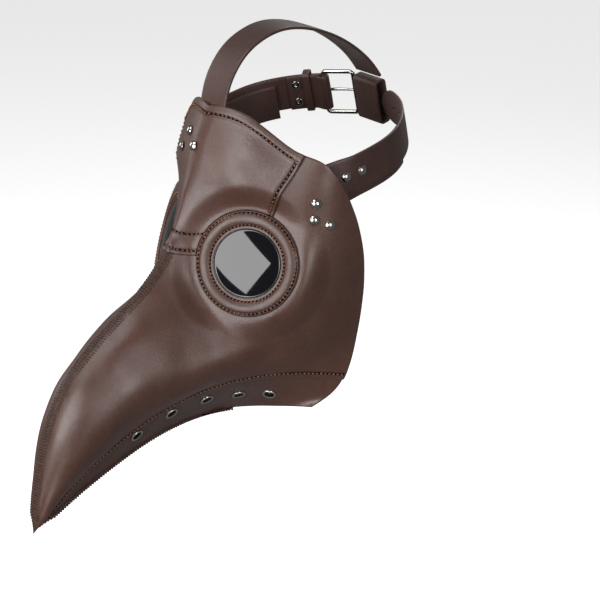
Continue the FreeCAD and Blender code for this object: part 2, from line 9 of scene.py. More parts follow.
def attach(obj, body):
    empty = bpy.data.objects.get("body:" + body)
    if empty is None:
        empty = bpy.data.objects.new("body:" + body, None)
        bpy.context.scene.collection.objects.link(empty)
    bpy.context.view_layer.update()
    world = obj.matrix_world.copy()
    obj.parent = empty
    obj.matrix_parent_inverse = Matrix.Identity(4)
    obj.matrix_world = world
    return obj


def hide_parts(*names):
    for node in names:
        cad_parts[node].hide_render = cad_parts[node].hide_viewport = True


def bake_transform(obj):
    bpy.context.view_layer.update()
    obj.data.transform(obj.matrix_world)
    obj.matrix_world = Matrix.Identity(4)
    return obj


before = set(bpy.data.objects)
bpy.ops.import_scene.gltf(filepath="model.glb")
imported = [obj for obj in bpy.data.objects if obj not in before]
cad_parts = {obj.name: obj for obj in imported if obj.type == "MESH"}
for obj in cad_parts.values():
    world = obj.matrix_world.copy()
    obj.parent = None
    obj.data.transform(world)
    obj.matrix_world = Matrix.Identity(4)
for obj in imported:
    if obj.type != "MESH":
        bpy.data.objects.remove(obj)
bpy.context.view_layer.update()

# Plague doctor mask: leather shell, eye rings, harness and their stitching, drawn as meshes round
# the CAD frame. Lengths are in millimetres until a mesh is made, which is in metres.

MM = 0.001
RNG = np.random.default_rng(7)

# ---------------------------------------------------------------- shell dimensions, as in the CAD
LEATHER = 1.6                 # thickness of the shell leather
LAP = 1.75                    # height at which a lapped layer lies on the one below
GAP = 0.05                    # air between layers sewn together
LINING_GAP = 0.15             # air between the leather and its lining
LINING = 1.1                  # thickness of the lining
EYE = np.array([40.2, -68.0, -3.9])
EYE_TURN = math.radians(35.0)
EYE_TIP = math.radians(17.0)
EYE_FLAT = (36.0, 52.0)       # flat inside the first radius, free past the second
RING_OUTER = 35.0
RING_INNER = 22.5
LENS_HOLE = 25.0
RIDGE_WELT = 2.2              # radius of the rolled seam along the top of the beak
RIDGE_SINK = 0.2              # its centre lies this deep under the shell's inner face
KEEL_CORD = 1.45              # radius of the sewn seam under the beak
RIM = 8.0                     # station of the rim
LAP_LINE = 6.0                # guide line where the cheek laps the gusset
KEEL_LINE = 7.0               # guide line of the keel seam
THROAT = 6.0                  # station where the keel seam ends
SEAM_LINE = 2.2               # guide line where the forehead laps the cheek
SEAM_TAPER = 0.06             # part of its width that the forehead loses
TAPER_TOP = 7.8               # below this station
RIVET_SPOTS = [(7.37, 2.89), (7.13, 2.98), (7.34, 3.32)]
BROW_RIVET_SPOTS = [(7.38, -0.50), (7.15, -0.10), (7.04, -0.75)]
EYELET_SPOTS = [(3.32, 6.42), (4.18, 6.44), (5.05, 6.50), (5.88, 6.56), (6.63, 6.60)]
EYELET_BORE = 3.1

# Guide lines of the shell's inner face, from the ridge (0) to the keel (7), each with its points at
# nine stations, from the beak's tip (0) to the rim (8).
GUIDES = np.array([
    [(0, -217, -168), (0, -210, -132), (0, -195, -85), (0, -167, -52), (0, -135, -30),
     (0, -105, -1), (0, -88, 33), (0, -77, 62), (0, -65, 92)],
    [(1, -217, -168), (5, -210, -133), (9, -194, -87), (12, -165, -57), (14, -132, -36),
     (16, -96, -18), (24, -75, 21), (27, -67, 57), (26, -54, 88)],
    [(1.5, -217, -168), (8, -208, -136), (16, -191, -94), (20, -162, -66), (24, -128, -47),
     (29, -90, -34), (42, -63, 6), (50, -53, 42), (54, -39, 69)],
    [(2, -217, -168), (10, -207, -139), (20, -188, -103), (26, -159, -78), (31, -125, -60),
     (39, -86, -49), (58, -52, -14), (69, -38, 22), (73, -24, 57)],
    [(2, -217, -168), (10, -205, -142), (20, -185, -112), (26, -156, -90), (34, -123, -74),
     (45, -84, -63), (65, -50, -39), (76, -26, -14), (78, -4, 5)],
    [(1.5, -217, -168), (8, -203, -145), (16, -182, -121), (21, -153, -101), (29, -121, -87),
     (39, -84, -78), (57, -55, -64), (70, -28, -55), (75, -3, -48)],
    [(1, -216, -168), (5, -201, -149), (9, -179, -130), (14, -150, -112), (20, -119, -98),
     (28, -87, -90), (40, -61, -87), (54, -36, -88), (68, -10, -93)],
    [(0, -217, -169), (0, -201, -160), (0, -176, -148), (0, -148, -137), (0, -118, -128),
     (0, -86, -124), (0, -51, -127), (30, -37, -119), (55, -27, -113)],
], float)

STRAP_WIDTH = 25.0
STRAP_THICK = 2.0
STRAP_TILT = math.radians(12.0)
STRAP_LEVEL = 54.7            # height of the side straps at Y = 0
STRAP_BACK = 74.0             # distance of the straps behind the head's middle
STRAP_PATH = np.array([(72.5, -16.0), (73.8, 8.0), (69.5, 33.0), (53.0, 56.0), (32.0, 70.0),
                       (13.0, STRAP_BACK)])
RIVET_INDEXES = (0.12, 0.62)  # places along the straps' path
TUCK_END = 2.4                # index along the path where the under strap ends
ROOT_FOOT = 7.5               # station of the lower end of the top strap's root
BROW_SEAT = 0.8               # height of a brow rivet's cap over the leather
TUCK_DROP = 5.0               # how much lower the under strap hangs
BAR_X = 38.0                  # distance of the buckle's bar from the middle of the back
CROWN_PATH = np.array([(-63.2, 96.4), (-58.0, 108.5), (-50.0, 120.0), (-38.0, 129.5), (-19.0, 135.5),
                       (2.0, 134.0), (24.0, 126.5), (44.0, 115.0), (60.0, 101.5), (70.0, 89.0)])


# ---------------------------------------------------------------- splines
def bend_table(count):
    """Second derivatives of natural cubic splines that are 1 at one knot and 0 at the others."""
    inner = count - 2
    system = 4.0 * np.eye(inner) + np.eye(inner, k=1) + np.eye(inner, k=-1)
    unit = np.eye(count)
    pull = 6.0 * (unit[:, :-2] - 2.0 * unit[:, 1:-1] + unit[:, 2:])
    table = np.zeros((count, count))
    table[:, 1:-1] = np.linalg.solve(system, pull.T).T
    return table


def basis(t, count):
    """Weights of every knot at each parameter of t, as rows."""
    t = np.asarray(t, float).ravel()
    bends = bend_table(count)
    i = np.clip(t.astype(int), 0, count - 2)
    a = (i + 1 - t)[:, None]
    b = (t - i)[:, None]
    weights = ((a ** 3 - a) * bends[:, i].T + (b ** 3 - b) * bends[:, i + 1].T) / 6.0
    rows = np.arange(len(t))
    weights[rows, i] += a[:, 0]
    weights[rows, i + 1] += b[:, 0]
    return weights


def smooth(t):
    """Soft step from 0 at t = 0 to 1 at t = 1."""
    t = np.clip(t, 0.0, 1.0)
    return t * t * (3.0 - 2.0 * t)


def unit(v):
    """Vectors of length 1."""
    return v / np.maximum(np.linalg.norm(v, axis=-1, keepdims=True), 1e-9)


def arc_lengths(line):
    """Distance along a polyline from its first point to each of its points."""
    return np.concatenate([[0.0], np.cumsum(np.linalg.norm(np.diff(line, axis=0), axis=1))])


def sampled(t, knots, points):
    """Points between the given ones, which stand at the knots."""
    return np.stack([np.interp(t, knots, column) for column in points.T], 1)


EYE_AXIS = np.array([math.sin(EYE_TURN) * math.cos(EYE_TIP), -math.cos(EYE_TURN) * math.cos(EYE_TIP),
                     math.sin(EYE_TIP)])
EYE_RIGHT = unit(np.cross([0.0, 0.0, 1.0], EYE_AXIS))
EYE_UP = np.cross(EYE_AXIS, EYE_RIGHT)


def eye_polar(points):
    """Distance from the eye's axis, and height over the eye's plane."""
    offset = points - EYE
    lift = offset @ EYE_AXIS
    return np.linalg.norm(offset - lift[..., None] * EYE_AXIS, axis=-1), lift


def skin(u, v):
    """Points of the shell's inner face, for arrays of stations and guide lines."""
    u, v = np.broadcast_arrays(np.asarray(u, float), np.asarray(v, float))
    by_station = basis(u, GUIDES.shape[1])
    by_guide = basis(np.abs(v), GUIDES.shape[0])
    points = np.einsum("ng,gsk,ns->nk", by_guide, GUIDES, by_station)
    reach, lift = eye_polar(points)
    flat = smooth((EYE_FLAT[1] - reach) / (EYE_FLAT[1] - EYE_FLAT[0]))
    points -= (lift * flat)[:, None] * EYE_AXIS
    points[:, 0] *= np.where(v.ravel() < 0, -1.0, 1.0)
    return points.reshape(u.shape + (3,))


def outward(u, v):
    """Unit normals of the shell. The brow is rounded over the middle."""
    u, v = np.broadcast_arrays(np.asarray(u, float), np.asarray(v, float))
    step = 0.02
    side = np.abs(v)
    along = skin(u + step, side) - skin(u - step, side)
    across = skin(u, side + step) - skin(u, np.maximum(0.0, side - step))
    normal = np.cross(across, along)
    brow = smooth((u - 5.0) / 0.4)
    normal[..., 0] *= 1.0 - brow * (1.0 - np.minimum(1.0, side / 0.3))
    normal[..., 0] *= np.where(v < 0, -1.0, 1.0)
    return unit(normal)


def hem(v):
    """Station of the forehead panel's lower edge."""
    side = np.abs(v)
    return 5.08 + 0.45 * side * side / (side + 0.12)


def tapered(v, u):
    """Guide line of a forehead edge, which draws in a little below the brow."""
    return v * (1.0 - SEAM_TAPER * smooth(TAPER_TOP - np.asarray(u, float)))


MIRROR = np.array([-1.0, 1.0, 1.0])
TIP_LENGTH = 12.0             # the beak is drawn in to a point over this length
TIP_STATION = 0.06            # the panels start here
TIP_WIDTH = 0.12              # part of the width that is left at the very tip


def middle_of_beak(u):
    """Point on the middle plane, halfway from the ridge to the keel at a station."""
    ring = skin(u, np.linspace(0.0, KEEL_LINE, 15))
    return np.array([0.0, ring[:, 1].mean(), ring[:, 2].mean()])


BEAK_TIP = middle_of_beak(TIP_STATION)
BEAK_AXIS = unit(BEAK_TIP - middle_of_beak(0.7))


def sharpened(verts):
    """Points near the beak's end, drawn in towards its axis."""
    verts = np.array(verts, float)
    back = (BEAK_TIP - verts) @ BEAK_AXIS
    foot = BEAK_TIP - back[:, None] * BEAK_AXIS
    draw = TIP_WIDTH + (1.0 - TIP_WIDTH) * np.clip(back / TIP_LENGTH, 0.0, 1.0) ** 0.85
    return foot + (verts - foot) * draw[:, None]


# ---------------------------------------------------------------- mesh helpers
def make_object(name, verts, faces, materials, body, replaced=(), slot="leather_shell", marks=None,
                tints=None):
    """Mesh object from millimetre points. marks picks a material for each face."""
    mesh = bpy.data.meshes.new(name)
    mesh.from_pydata((sharpened(verts) * MM).tolist(), [], [list(map(int, f)) for f in faces])
    for material in materials:
        mesh.materials.append(material)
    mesh.polygons.foreach_set("use_smooth", [True] * len(mesh.polygons))
    if marks is not None:
        mesh.polygons.foreach_set("material_index", list(map(int, marks)))
    for key, values in (tints or {}).items():
        layer = mesh.attributes.new(key, "FLOAT", "POINT")
        layer.data.foreach_set("value", np.asarray(values, np.float32))
    mesh.validate()
    mesh.update()
    obj = bpy.data.objects.new(name, mesh)
    bpy.context.scene.collection.objects.link(obj)
    if body:
        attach(obj, body)
    if replaced:
        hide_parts(*replaced)
    return obj


def flip(verts):
    """The points mirrored to the other side."""
    return np.array(verts, float) * MIRROR


def mirrored(verts, faces):
    """The mesh on the other side."""
    return flip(verts), [tuple(f)[::-1] for f in faces]


def both_sides(name, verts, faces, materials, replaced=(), slot="leather_shell", marks=None,
               tints=None, bodies=("mask", "mask")):
    """The same mesh on the left and, mirrored, on the right. replaced holds CAD names without side."""
    for side, body in zip(("left", "right"), bodies):
        shape = (verts, faces) if side == "left" else mirrored(verts, faces)
        make_object(f"{name}_{side}", *shape, materials, body, [f"{node}_{side}" for node in replaced],
                    slot, marks, tints)


def join(parts):
    """Joins (verts, faces) lists into one."""
    verts, faces, base = [], [], 0
    for points, polygons in parts:
        verts.append(np.asarray(points, float))
        faces += [[i + base for i in polygon] for polygon in polygons]
        base += len(points)
    return np.concatenate(verts), faces


def grid_faces(rows, columns, wrap=False):
    """Quads of a grid of points, closed over its columns if wrap is set."""
    faces = []
    for i in range(rows - 1):
        for j in range(columns if wrap else columns - 1):
            k = (j + 1) % columns
            faces.append((i * columns + j, i * columns + k, (i + 1) * columns + k,
                          (i + 1) * columns + j))
    return faces


def lathe(outline, segments, closed=True):
    """Mesh turned about Z from (radius, height) points, axis points welded to one vertex."""
    verts, faces, rings = [], [], []
    angles = np.arange(segments) * 2.0 * math.pi / segments
    for r, h in outline:
        if r < 1e-6:
            rings.append([len(verts)])
            verts.append((0.0, 0.0, h))
        else:
            rings.append(list(range(len(verts), len(verts) + segments)))
            verts += [(r * math.cos(a), r * math.sin(a), h) for a in angles]
    pairs = list(zip(rings, rings[1:] + (rings[:1] if closed else [])))
    for low, high in pairs:
        for j in range(segments):
            k = (j + 1) % segments
            if len(low) == 1 and len(high) == 1:
                break
            if len(low) == 1:
                faces.append((low[0], high[k], high[j]))
            elif len(high) == 1:
                faces.append((low[j], low[k], high[0]))
            else:
                faces.append((low[j], low[k], high[k], high[j]))
    return np.array(verts), faces


def rounded(points, radius):
    """Outline whose corners are cut to short curves of about that radius."""
    points = [np.array(p, float) for p in points]
    out = []
    for before, here, after in zip(points[-1:] + points[:-1], points, points[1:] + points[:1]):
        a, b = before - here, after - here
        reach = min(radius, np.linalg.norm(a) * 0.45, np.linalg.norm(b) * 0.45)
        start, end = here + unit(a) * reach, here + unit(b) * reach
        for t in np.linspace(0.0, 1.0, 4):
            out.append(tuple((1 - t) ** 2 * start + 2 * t * (1 - t) * here + t * t * end))
    return out


def placed(verts, base, axis, right=None):
    """Points of a mesh about Z moved to a base point and turned to an axis."""
    axis = unit(np.asarray(axis, float))
    if right is None:
        right = np.cross([0.0, 1.0, 0.0], axis) if abs(axis[1]) < 0.9 else np.cross([1.0, 0, 0], axis)
    right = unit(right - (right @ axis) * axis)
    up = np.cross(axis, right)
    return base + verts[:, :1] * right + verts[:, 1:2] * up + verts[:, 2:] * axis


def boundary(faces):
    """Directed boundary edges of an open sheet, with the sheet on their left."""
    count = {}
    for face in faces:
        for a, b in zip(face, face[1:] + face[:1]):
            count[(a, b)] = count.get((a, b), 0) + 1
    return [(a, b) for a, b in count if (b, a) not in count]


RIM_STEPS = 5
RIM_BULGE = 0.85


def thicken(points, normals, faces, high, low):
    """Closed sheet between two heights over an open one, with a rounded edge all round."""
    n = len(points)
    high = np.broadcast_to(high, (n,)).astype(float)
    low = np.broadcast_to(low, (n,)).astype(float)
    verts = [points + normals * high[:, None], points + normals * low[:, None]]
    faces = [list(f) for f in faces]
    polygons = faces + [[i + n for i in f[::-1]] for f in faces]
    edges = boundary(faces)
    out = np.zeros((n, 3))
    for a, b in edges:
        away = np.cross(points[b] - points[a], normals[a])
        out[a] += away
        out[b] += away
    ring = sorted({a for a, _ in edges})
    slot = {a: i for i, a in enumerate(ring)}
    ring = np.array(ring)
    away = unit(out[ring])
    middle = (high[ring] + low[ring]) / 2.0
    half = (high[ring] - low[ring]) / 2.0
    rows = []
    for k in range(1, RIM_STEPS):
        angle = math.pi / 2 - math.pi * k / RIM_STEPS
        rows.append(2 * n + (k - 1) * len(ring))
        verts.append(points[ring] + normals[ring] * (middle + half * math.sin(angle))[:, None]
                     + away * (half * RIM_BULGE * math.cos(angle))[:, None])
    for a, b in edges:
        chain_a = [a] + [row + slot[a] for row in rows] + [a + n]
        chain_b = [b] + [row + slot[b] for row in rows] + [b + n]
        for k in range(RIM_STEPS):
            polygons.append([chain_a[k], chain_a[k + 1], chain_b[k + 1], chain_b[k]])
    return np.concatenate(verts), polygons


def used_only(faces, *arrays):
    """Faces and arrays without the points that no face uses."""
    keep = np.unique(np.array([i for f in faces for i in f]))
    index = {int(k): i for i, k in enumerate(keep)}
    return [[index[int(i)] for i in f] for f in faces], [a[keep] for a in arrays]


def cut_round(faces, centre, axis, radius, points, cell):
    """Drops the faces inside a circle and draws the hole's rim exactly onto it."""
    def reach(p):
        offset = p - centre
        flat = offset - (offset @ axis)[..., None] * axis
        return np.linalg.norm(flat, axis=-1), flat
    distance, flat = reach(points)
    kept = []
    for f in faces:
        middle = points[list(f)].mean(0)
        if distance[f[0]] >= radius + 60.0 or reach(middle[None])[0][0] >= radius:
            kept.append(list(f))
    moved = points.copy()
    for i in {a for edge in boundary(kept) for a in edge}:
        if distance[i] < radius + 2.0 * cell:
            moved[i] += flat[i] / distance[i] * (radius - distance[i])
    return kept, moved


# ---------------------------------------------------------------- seams
class Seam:
    """A line of stitches over the shell, as points with normals at even distances."""

    def __init__(self, points, normals, pitch, lift):
        arc = arc_lengths(points)
        count = max(2, int(round(arc[-1] / 0.5)))
        self.arc = np.linspace(0.0, arc[-1], count)
        self.points = sampled(self.arc, arc, points)
        self.normals = unit(sampled(self.arc, arc, normals))
        self.length = arc[-1]
        self.count = max(1, int(round(arc[-1] / pitch)))
        self.pitch = arc[-1] / self.count
        self.lift = lift
        self.tree = KDTree(count)
        for i, p in enumerate(self.points):
            self.tree.insert(p, i)
        self.tree.balance()

    def near(self, points, reach=7.0):
        """Distance and arc length of the seam's nearest point, far ones as infinity."""
        distance = np.full(len(points), np.inf)
        arc = np.zeros(len(points))
        low = self.points.min(0) - reach
        high = self.points.max(0) + reach
        for i in np.where(np.all((points > low) & (points < high), axis=1))[0]:
            _, index, d = self.tree.find(points[i])
            if d < reach:
                distance[i] = d
                arc[i] = self.arc[index]
        return distance, arc

    def at(self, arc, step=0.4):
        """Points, normals and directions at distances along the seam."""
        ahead, behind = (sampled(arc + s, self.arc, self.points) for s in (step, -step))
        return (sampled(arc, self.arc, self.points), unit(sampled(arc, self.arc, self.normals)),
                unit(ahead - behind))


def uv_seam(us, vs, pitch, lift):
    """Seam along a list of (station, guide line) knots, joined by a smooth line."""
    knots = len(us)
    t = np.linspace(0.0, knots - 1.0, 60 * (knots - 1) + 1)
    weights = basis(t, knots) if knots > 2 else np.stack([1 - t, t], 1)
    u, v = weights @ np.array(us, float), weights @ np.array(vs, float)
    return Seam(skin(u, v), outward(u, v), pitch, lift)


def seam_relief(points, seams):
    """Height that the seams press into leather, and how near a seam each point is, for the painted shade in
    their grooves.
    """
    height = np.zeros(len(points))
    groove_shade = np.zeros(len(points))
    for seam, depth in seams:
        d, s = seam.near(points)
        wave = np.cos(2.0 * math.pi * s / seam.pitch)
        groove = -depth * np.exp(-(d / 0.9) ** 2) * (0.75 - 0.25 * wave)
        pillow = 0.32 * depth * np.exp(-((d - 2.3) / 1.3) ** 2) * (1.0 + 0.45 * wave)
        height += np.where(np.isfinite(d), groove + pillow, 0.0)
        groove_shade = np.maximum(groove_shade, np.where(np.isfinite(d), np.exp(-(d / 1.8) ** 2), 0.0))
    return height, groove_shade


STITCH_STATIONS = np.array([-1.0, -0.92, -0.75, -0.45, -0.15, 0.15, 0.45, 0.75, 0.92, 1.0])
STITCH_SIDES = 8
HOLE_SIZE = 1.9               # radius of the painted needle-hole shade, in radii of the thread


def stitch_faces():
    """Faces of one stitch, with marks that tell its two discs of painted needle-hole shade from its thread.
    """
    rows, sides = len(STITCH_STATIONS), STITCH_SIDES
    faces = grid_faces(rows, sides, True)
    faces += [tuple(range(sides))[::-1], tuple(range((rows - 1) * sides, rows * sides))]
    marks = [0] * len(faces) + [1] * (4 * sides)
    for first in (rows * sides, rows * sides + sides + 2):
        for j in range(sides):
            m = (j + 1) % sides
            faces.append((first, first + 1 + m, first + 1 + j))
            faces.append((first + 1 + sides, first + 1 + j, first + 1 + m))
    return faces, marks


def stitches(seam, length, radius, lift=0.0):
    """Thread laid in even stitches along a seam, with a dark disc of painted shade for the needle hole at
    both ends of each.
    """
    places = (np.arange(seam.count) + 0.5) * seam.pitch
    point, normal, along = seam.at(places + RNG.normal(0.0, 0.07, len(places)))
    side = np.cross(normal, along)
    angle = RNG.normal(0.0, 0.05, len(places))
    run = along * np.cos(angle)[:, None] + side * np.sin(angle)[:, None]
    cross = np.cross(normal, run)
    base = point + normal * (seam.lift + lift)
    size = radius * (1.0 + RNG.normal(0.0, 0.05, len(places)))
    round_angles = np.arange(STITCH_SIDES) * 2.0 * math.pi / STITCH_SIDES
    template, marks = stitch_faces()
    parts = []
    for k in range(len(places)):
        verts = []
        for t in STITCH_STATIONS:
            centre = base[k] + run[k] * (t * length / 2.0) + normal[k] * (radius * (0.55 - 1.5 * t ** 6))
            for a in round_angles:
                ply = 1.0 + 0.13 * math.cos(2.0 * a + 5.0 * t)
                r = size[k] * ply * (1.0 - 0.35 * t ** 8)
                verts.append(centre + (cross[k] * math.cos(a) + normal[k] * math.sin(a)) * r)
        # Each end gets a flat near-black disc: painted shade of the needle hole.
        for end in (-1.0, 1.0):
            hole = base[k] + run[k] * (end * (length / 2.0 + 0.12)) + normal[k] * 0.06
            verts.append(hole + normal[k] * 0.05)
            verts += [hole + (cross[k] * math.cos(a) + run[k] * math.sin(a)) * radius * HOLE_SIZE
                      for a in round_angles]
            verts.append(hole - normal[k] * 0.5)
        parts.append((verts, template))
    verts, faces = join(parts)
    return verts, faces, marks * len(parts)


# ---------------------------------------------------------------- materials
class Look:
    """A material under way, with short ways to add nodes over the object's own coordinates."""

    def __init__(self, name):
        self.material = bpy.data.materials.new(name)
        self.material.use_nodes = True
        self.nodes = self.material.node_tree.nodes
        self.links = self.material.node_tree.links
        self.shader = self.nodes["Principled BSDF"]
        self.coords = self.nodes.new("ShaderNodeTexCoord").outputs["Object"]

    def set(self, socket, value):
        self.shader.inputs[socket].default_value = value

    def texture(self, kind, **values):
        node = self.nodes.new(kind)
        for key, value in values.items():
            node.inputs[key].default_value = value
        self.links.new(self.coords, node.inputs["Vector"])
        return node

    def noise(self, scale, detail=3.0, rough=0.5):
        return self.texture("ShaderNodeTexNoise", Scale=scale, Detail=detail, Roughness=rough).outputs["Fac"]

    def ramp(self, value, low, high, socket=None):
        """Colour between two (place, colour) stops, linked to a socket of the shader if one is named."""
        node = self.nodes.new("ShaderNodeValToRGB")
        for element, (place, colour) in zip(node.color_ramp.elements, (low, high)):
            element.position = place
            element.color = (*colour, 1.0)
        self.links.new(value, node.inputs["Fac"])
        if socket:
            self.links.new(node.outputs["Color"], self.shader.inputs[socket])
        return node.outputs["Color"]

    def mix(self, factor, a, b, blend="MIX"):
        node = self.nodes.new("ShaderNodeMix")
        node.data_type = "RGBA"
        node.blend_type = blend
        for socket, value in zip((node.inputs[0], node.inputs[6], node.inputs[7]), (factor, a, b)):
            if hasattr(value, "is_linked"):
                self.links.new(value, socket)
            else:
                socket.default_value = (*value, 1.0) if isinstance(value, tuple) else value
        return node.outputs[2]

    def bump(self, *heights):
        """Bumps of (height, strength, distance in metres), each on top of the last."""
        previous = None
        for height, strength, distance in heights:
            node = self.nodes.new("ShaderNodeBump")
            node.inputs["Strength"].default_value = strength
            node.inputs["Distance"].default_value = distance
            self.links.new(height, node.inputs["Height"])
            if previous:
                self.links.new(previous, node.inputs["Normal"])
            previous = node.outputs["Normal"]
        self.links.new(previous, self.shader.inputs["Normal"])


def grey(x):
    """Colour with three equal parts."""
    return (x, x, x)


def leather(name, dark, light, rough=(0.33, 0.47), grain=0.25):
    """Smooth coated leather: cloudy colour, fine pebbled grain, and painted shade along the seams."""
    look = Look(name)
    cloud = look.noise(22.0, 4.0, 0.55)
    fine = look.noise(420.0, 3.0, 0.6)
    colour = look.mix(1.0, look.ramp(cloud, (0.3, dark), (0.72, light)),
                      look.ramp(fine, (0.35, grey(0.82)), (0.65, grey(1.0))), "MULTIPLY")
    # The seam attribute draws the colour to a dark tone: painted shade in the seams' grooves, and elsewhere
    # darker inner faces, cut edges, ring walls and a band along the ridge.
    seam = look.nodes.new("ShaderNodeAttribute")
    seam.attribute_name = "seam"
    colour = look.mix(seam.outputs["Fac"], colour, (0.03, 0.014, 0.009))
    look.links.new(colour, look.shader.inputs["Base Color"])
    cells = look.texture("ShaderNodeTexVoronoi", Scale=900.0)
    look.ramp(look.noise(60.0), (0.3, grey(rough[0])), (0.7, grey(rough[1])), "Roughness")
    look.set("Specular IOR Level", 0.48)
    look.set("Sheen Weight", 0.04)
    look.bump((cells.outputs["Distance"], grain, 0.0002), (fine, 0.25, 0.0002), (cloud, 0.15, 0.0015))
    return look.material


def thread(name, tone, shade, sheen=0.08, shine=0.3):
    """Thread of two close tones, with a fibrous surface."""
    look = Look(name)
    look.ramp(look.noise(300.0, 2.0), (0.3, shade), (0.7, tone), "Base Color")
    look.set("Roughness", 0.62)
    look.set("Specular IOR Level", shine)
    look.set("Sheen Weight", sheen)
    look.bump((look.noise(2500.0, 2.0), 0.4, 0.0001))
    return look.material


def cloth(name, dark, light):
    """Woven lining."""
    look = Look(name)
    weave = []
    for direction in ("X", "Z"):
        wave = look.texture("ShaderNodeTexWave", Scale=420.0, Distortion=0.8)
        wave.bands_direction = direction
        weave.append(wave.outputs["Fac"])
    pattern = look.mix(0.5, *weave)
    look.ramp(pattern, (0.2, dark), (0.8, light), "Base Color")
    look.ramp(look.noise(90.0), (0.3, grey(0.8)), (0.7, grey(0.95)), "Roughness")
    look.set("Sheen Weight", 0.4)
    look.bump((pattern, 0.5, 0.0003))
    return look.material


def metal(name, tone, rough):
    """Metal with a faint cloud in its colour and its polish."""
    look = Look(name)
    cloud = look.noise(180.0, 4.0)
    look.ramp(cloud, (0.3, tuple(c * 0.86 for c in tone)), (0.7, tone), "Base Color")
    look.ramp(cloud, (0.3, grey(rough)), (0.7, grey(rough + 0.09)), "Roughness")
    look.set("Metallic", 1.0)
    look.bump((look.noise(900.0, 2.0), 0.04, 0.0001))
    return look.material


def dark_glass(name):
    """Polished lens, tinted nearly black."""
    look = Look(name)
    cloud = look.noise(30.0, 2.0)
    look.ramp(cloud, (0.3, (0.0015, 0.0015, 0.003)), (0.7, (0.003, 0.003, 0.005)), "Base Color")
    look.ramp(cloud, (0.3, grey(0.03)), (0.7, grey(0.06)), "Roughness")
    look.set("Specular IOR Level", 0.5)
    return look.material


def dull_plastic(name):
    """Black moulded plastic."""
    look = Look(name)
    fine = look.noise(700.0)
    look.ramp(fine, (0.3, grey(0.012)), (0.7, grey(0.022)), "Base Color")
    look.set("Roughness", 0.55)
    look.bump((fine, 0.2, 0.0001))
    return look.material


SHELL = leather("shell_leather", (0.058, 0.025, 0.018), (0.082, 0.037, 0.027))
RING = leather("ring_leather", (0.048, 0.020, 0.014), (0.064, 0.028, 0.020))
WELT = leather("welt_leather", (0.016, 0.007, 0.005), (0.026, 0.011, 0.008), grain=0.4)
STRAP = leather("strap_leather", (0.044, 0.019, 0.014), (0.060, 0.028, 0.021), rough=(0.38, 0.50))
THREAD = thread("seam_thread", (0.230, 0.082, 0.034), (0.090, 0.031, 0.014))
WELT_THREAD = thread("edge_thread", (0.075, 0.030, 0.017), (0.030, 0.012, 0.008))
# Near-black painted shade for the needle holes.
HOLE_SHADE = thread("needle_hole_shade", (0.008, 0.004, 0.003), (0.004, 0.002, 0.002), 0.0, 0.05)
LINING_CLOTH = cloth("lining_cloth", (0.012, 0.011, 0.011), (0.03, 0.028, 0.027))
NICKEL = metal("polished_nickel", (0.50, 0.48, 0.45), 0.12)
# Painted shade: the eyelets' bores are dark, dull metal standing in for the shade inside them.
EYELET_BORE_SHADE = metal("eyelet_bore_shade", (0.030, 0.027, 0.024), 0.55)
EYELET_METAL = metal("eyelet_metal", (0.66, 0.63, 0.57), 0.28)
GLASS = dark_glass("lens_tint")
PLASTIC = dull_plastic("retainer_plastic")


# ---------------------------------------------------------------- leather panels
SEAM_SHADE = 0.7               # how far the leather's colour goes to its dark tone: along seams, as painted shade in their grooves,
INNER_TINT = 0.85             # on the inner face
RIM_TINT = 0.35               # and on the cut edges
DRAPE_SCALE = 26.0            # length of the leather's soft waves
SEAM_DEPTH = 0.34             # how deep a seam presses in
STRIP_START = 7.79            # station from which the brow's edge strip stands up
STRIP_HEIGHT = 0.62
HEM_WIDTH = 0.40              # of the turned hem over the nose, in stations
HEM_HEIGHT = 0.34
BROW_ROUND = 1.15             # how much the forehead is flattened over the middle
WHIP_PITCH = 1.9              # between the stitches that bind the ridge and the keel
CHEEK_SPLIT = 1.9             # guide line up to which the cheek ends under the forehead
CHEEK_UNDER = 0.26            # how many stations it goes in under the forehead's hem
CHEEK_SQUEEZE = 4.6           # its grid is squeezed to the hem from this station on


def crowded(start, stop, count, ends=(True, True), strength=0.6):
    """Numbers from start to stop that stand closer at one end or both."""
    t = np.linspace(0.0, 1.0, count)
    if ends[0] and ends[1]:
        t = t - strength * np.sin(2.0 * math.pi * t) / (2.0 * math.pi)
    elif ends[1]:
        t = t + strength * t * (1.0 - t)
    elif ends[0]:
        t = t - strength * t * (1.0 - t)
    return start + (stop - start) * t


def drape(points, scale, height, seed):
    """Soft random swell of leather over points, from a few fixed waves."""
    rng = np.random.default_rng(seed)
    total = np.zeros(len(points))
    for _ in range(14):
        wave = unit(rng.normal(size=3)) * 2.0 * math.pi / (scale * rng.uniform(0.7, 1.6))
        total += np.sin(points @ wave + rng.uniform(0.0, 6.28))
    return height * total / 5.0


def finish_panel(U, V, faces=None, high=LEATHER, low=0.0, seams=(), swell=0.25, seed=1, cuts=(),
                 cell=1.2, relief=None):
    """(verts, faces, darkening: painted shade along the seams, and the inner face and cut edges) of one
    leather piece over a grid of stations and guide lines.
    """
    faces = faces or grid_faces(*U.shape)
    points = skin(U, V).reshape(-1, 3)
    normals = outward(U, V).reshape(-1, 3)
    for centre, axis, radius in cuts:
        faces, points = cut_round(faces, centre, axis, radius, points, cell)
    faces, (points, normals, u, v) = used_only(faces, points, normals, U.ravel(), V.ravel())
    # groove_shade is painted shade in the seams' grooves.
    lift, groove_shade = seam_relief(points, seams)
    lift = lift + drape(points, DRAPE_SCALE, swell, seed)
    if relief:
        lift = lift + relief(u, v, points)
    verts, polygons = thicken(points, normals, faces, high + lift, low)
    rim = np.full(len(verts) - 2 * len(points), RIM_TINT)
    return verts, polygons, np.concatenate([groove_shade * SEAM_SHADE, np.full(len(points), INNER_TINT), rim])


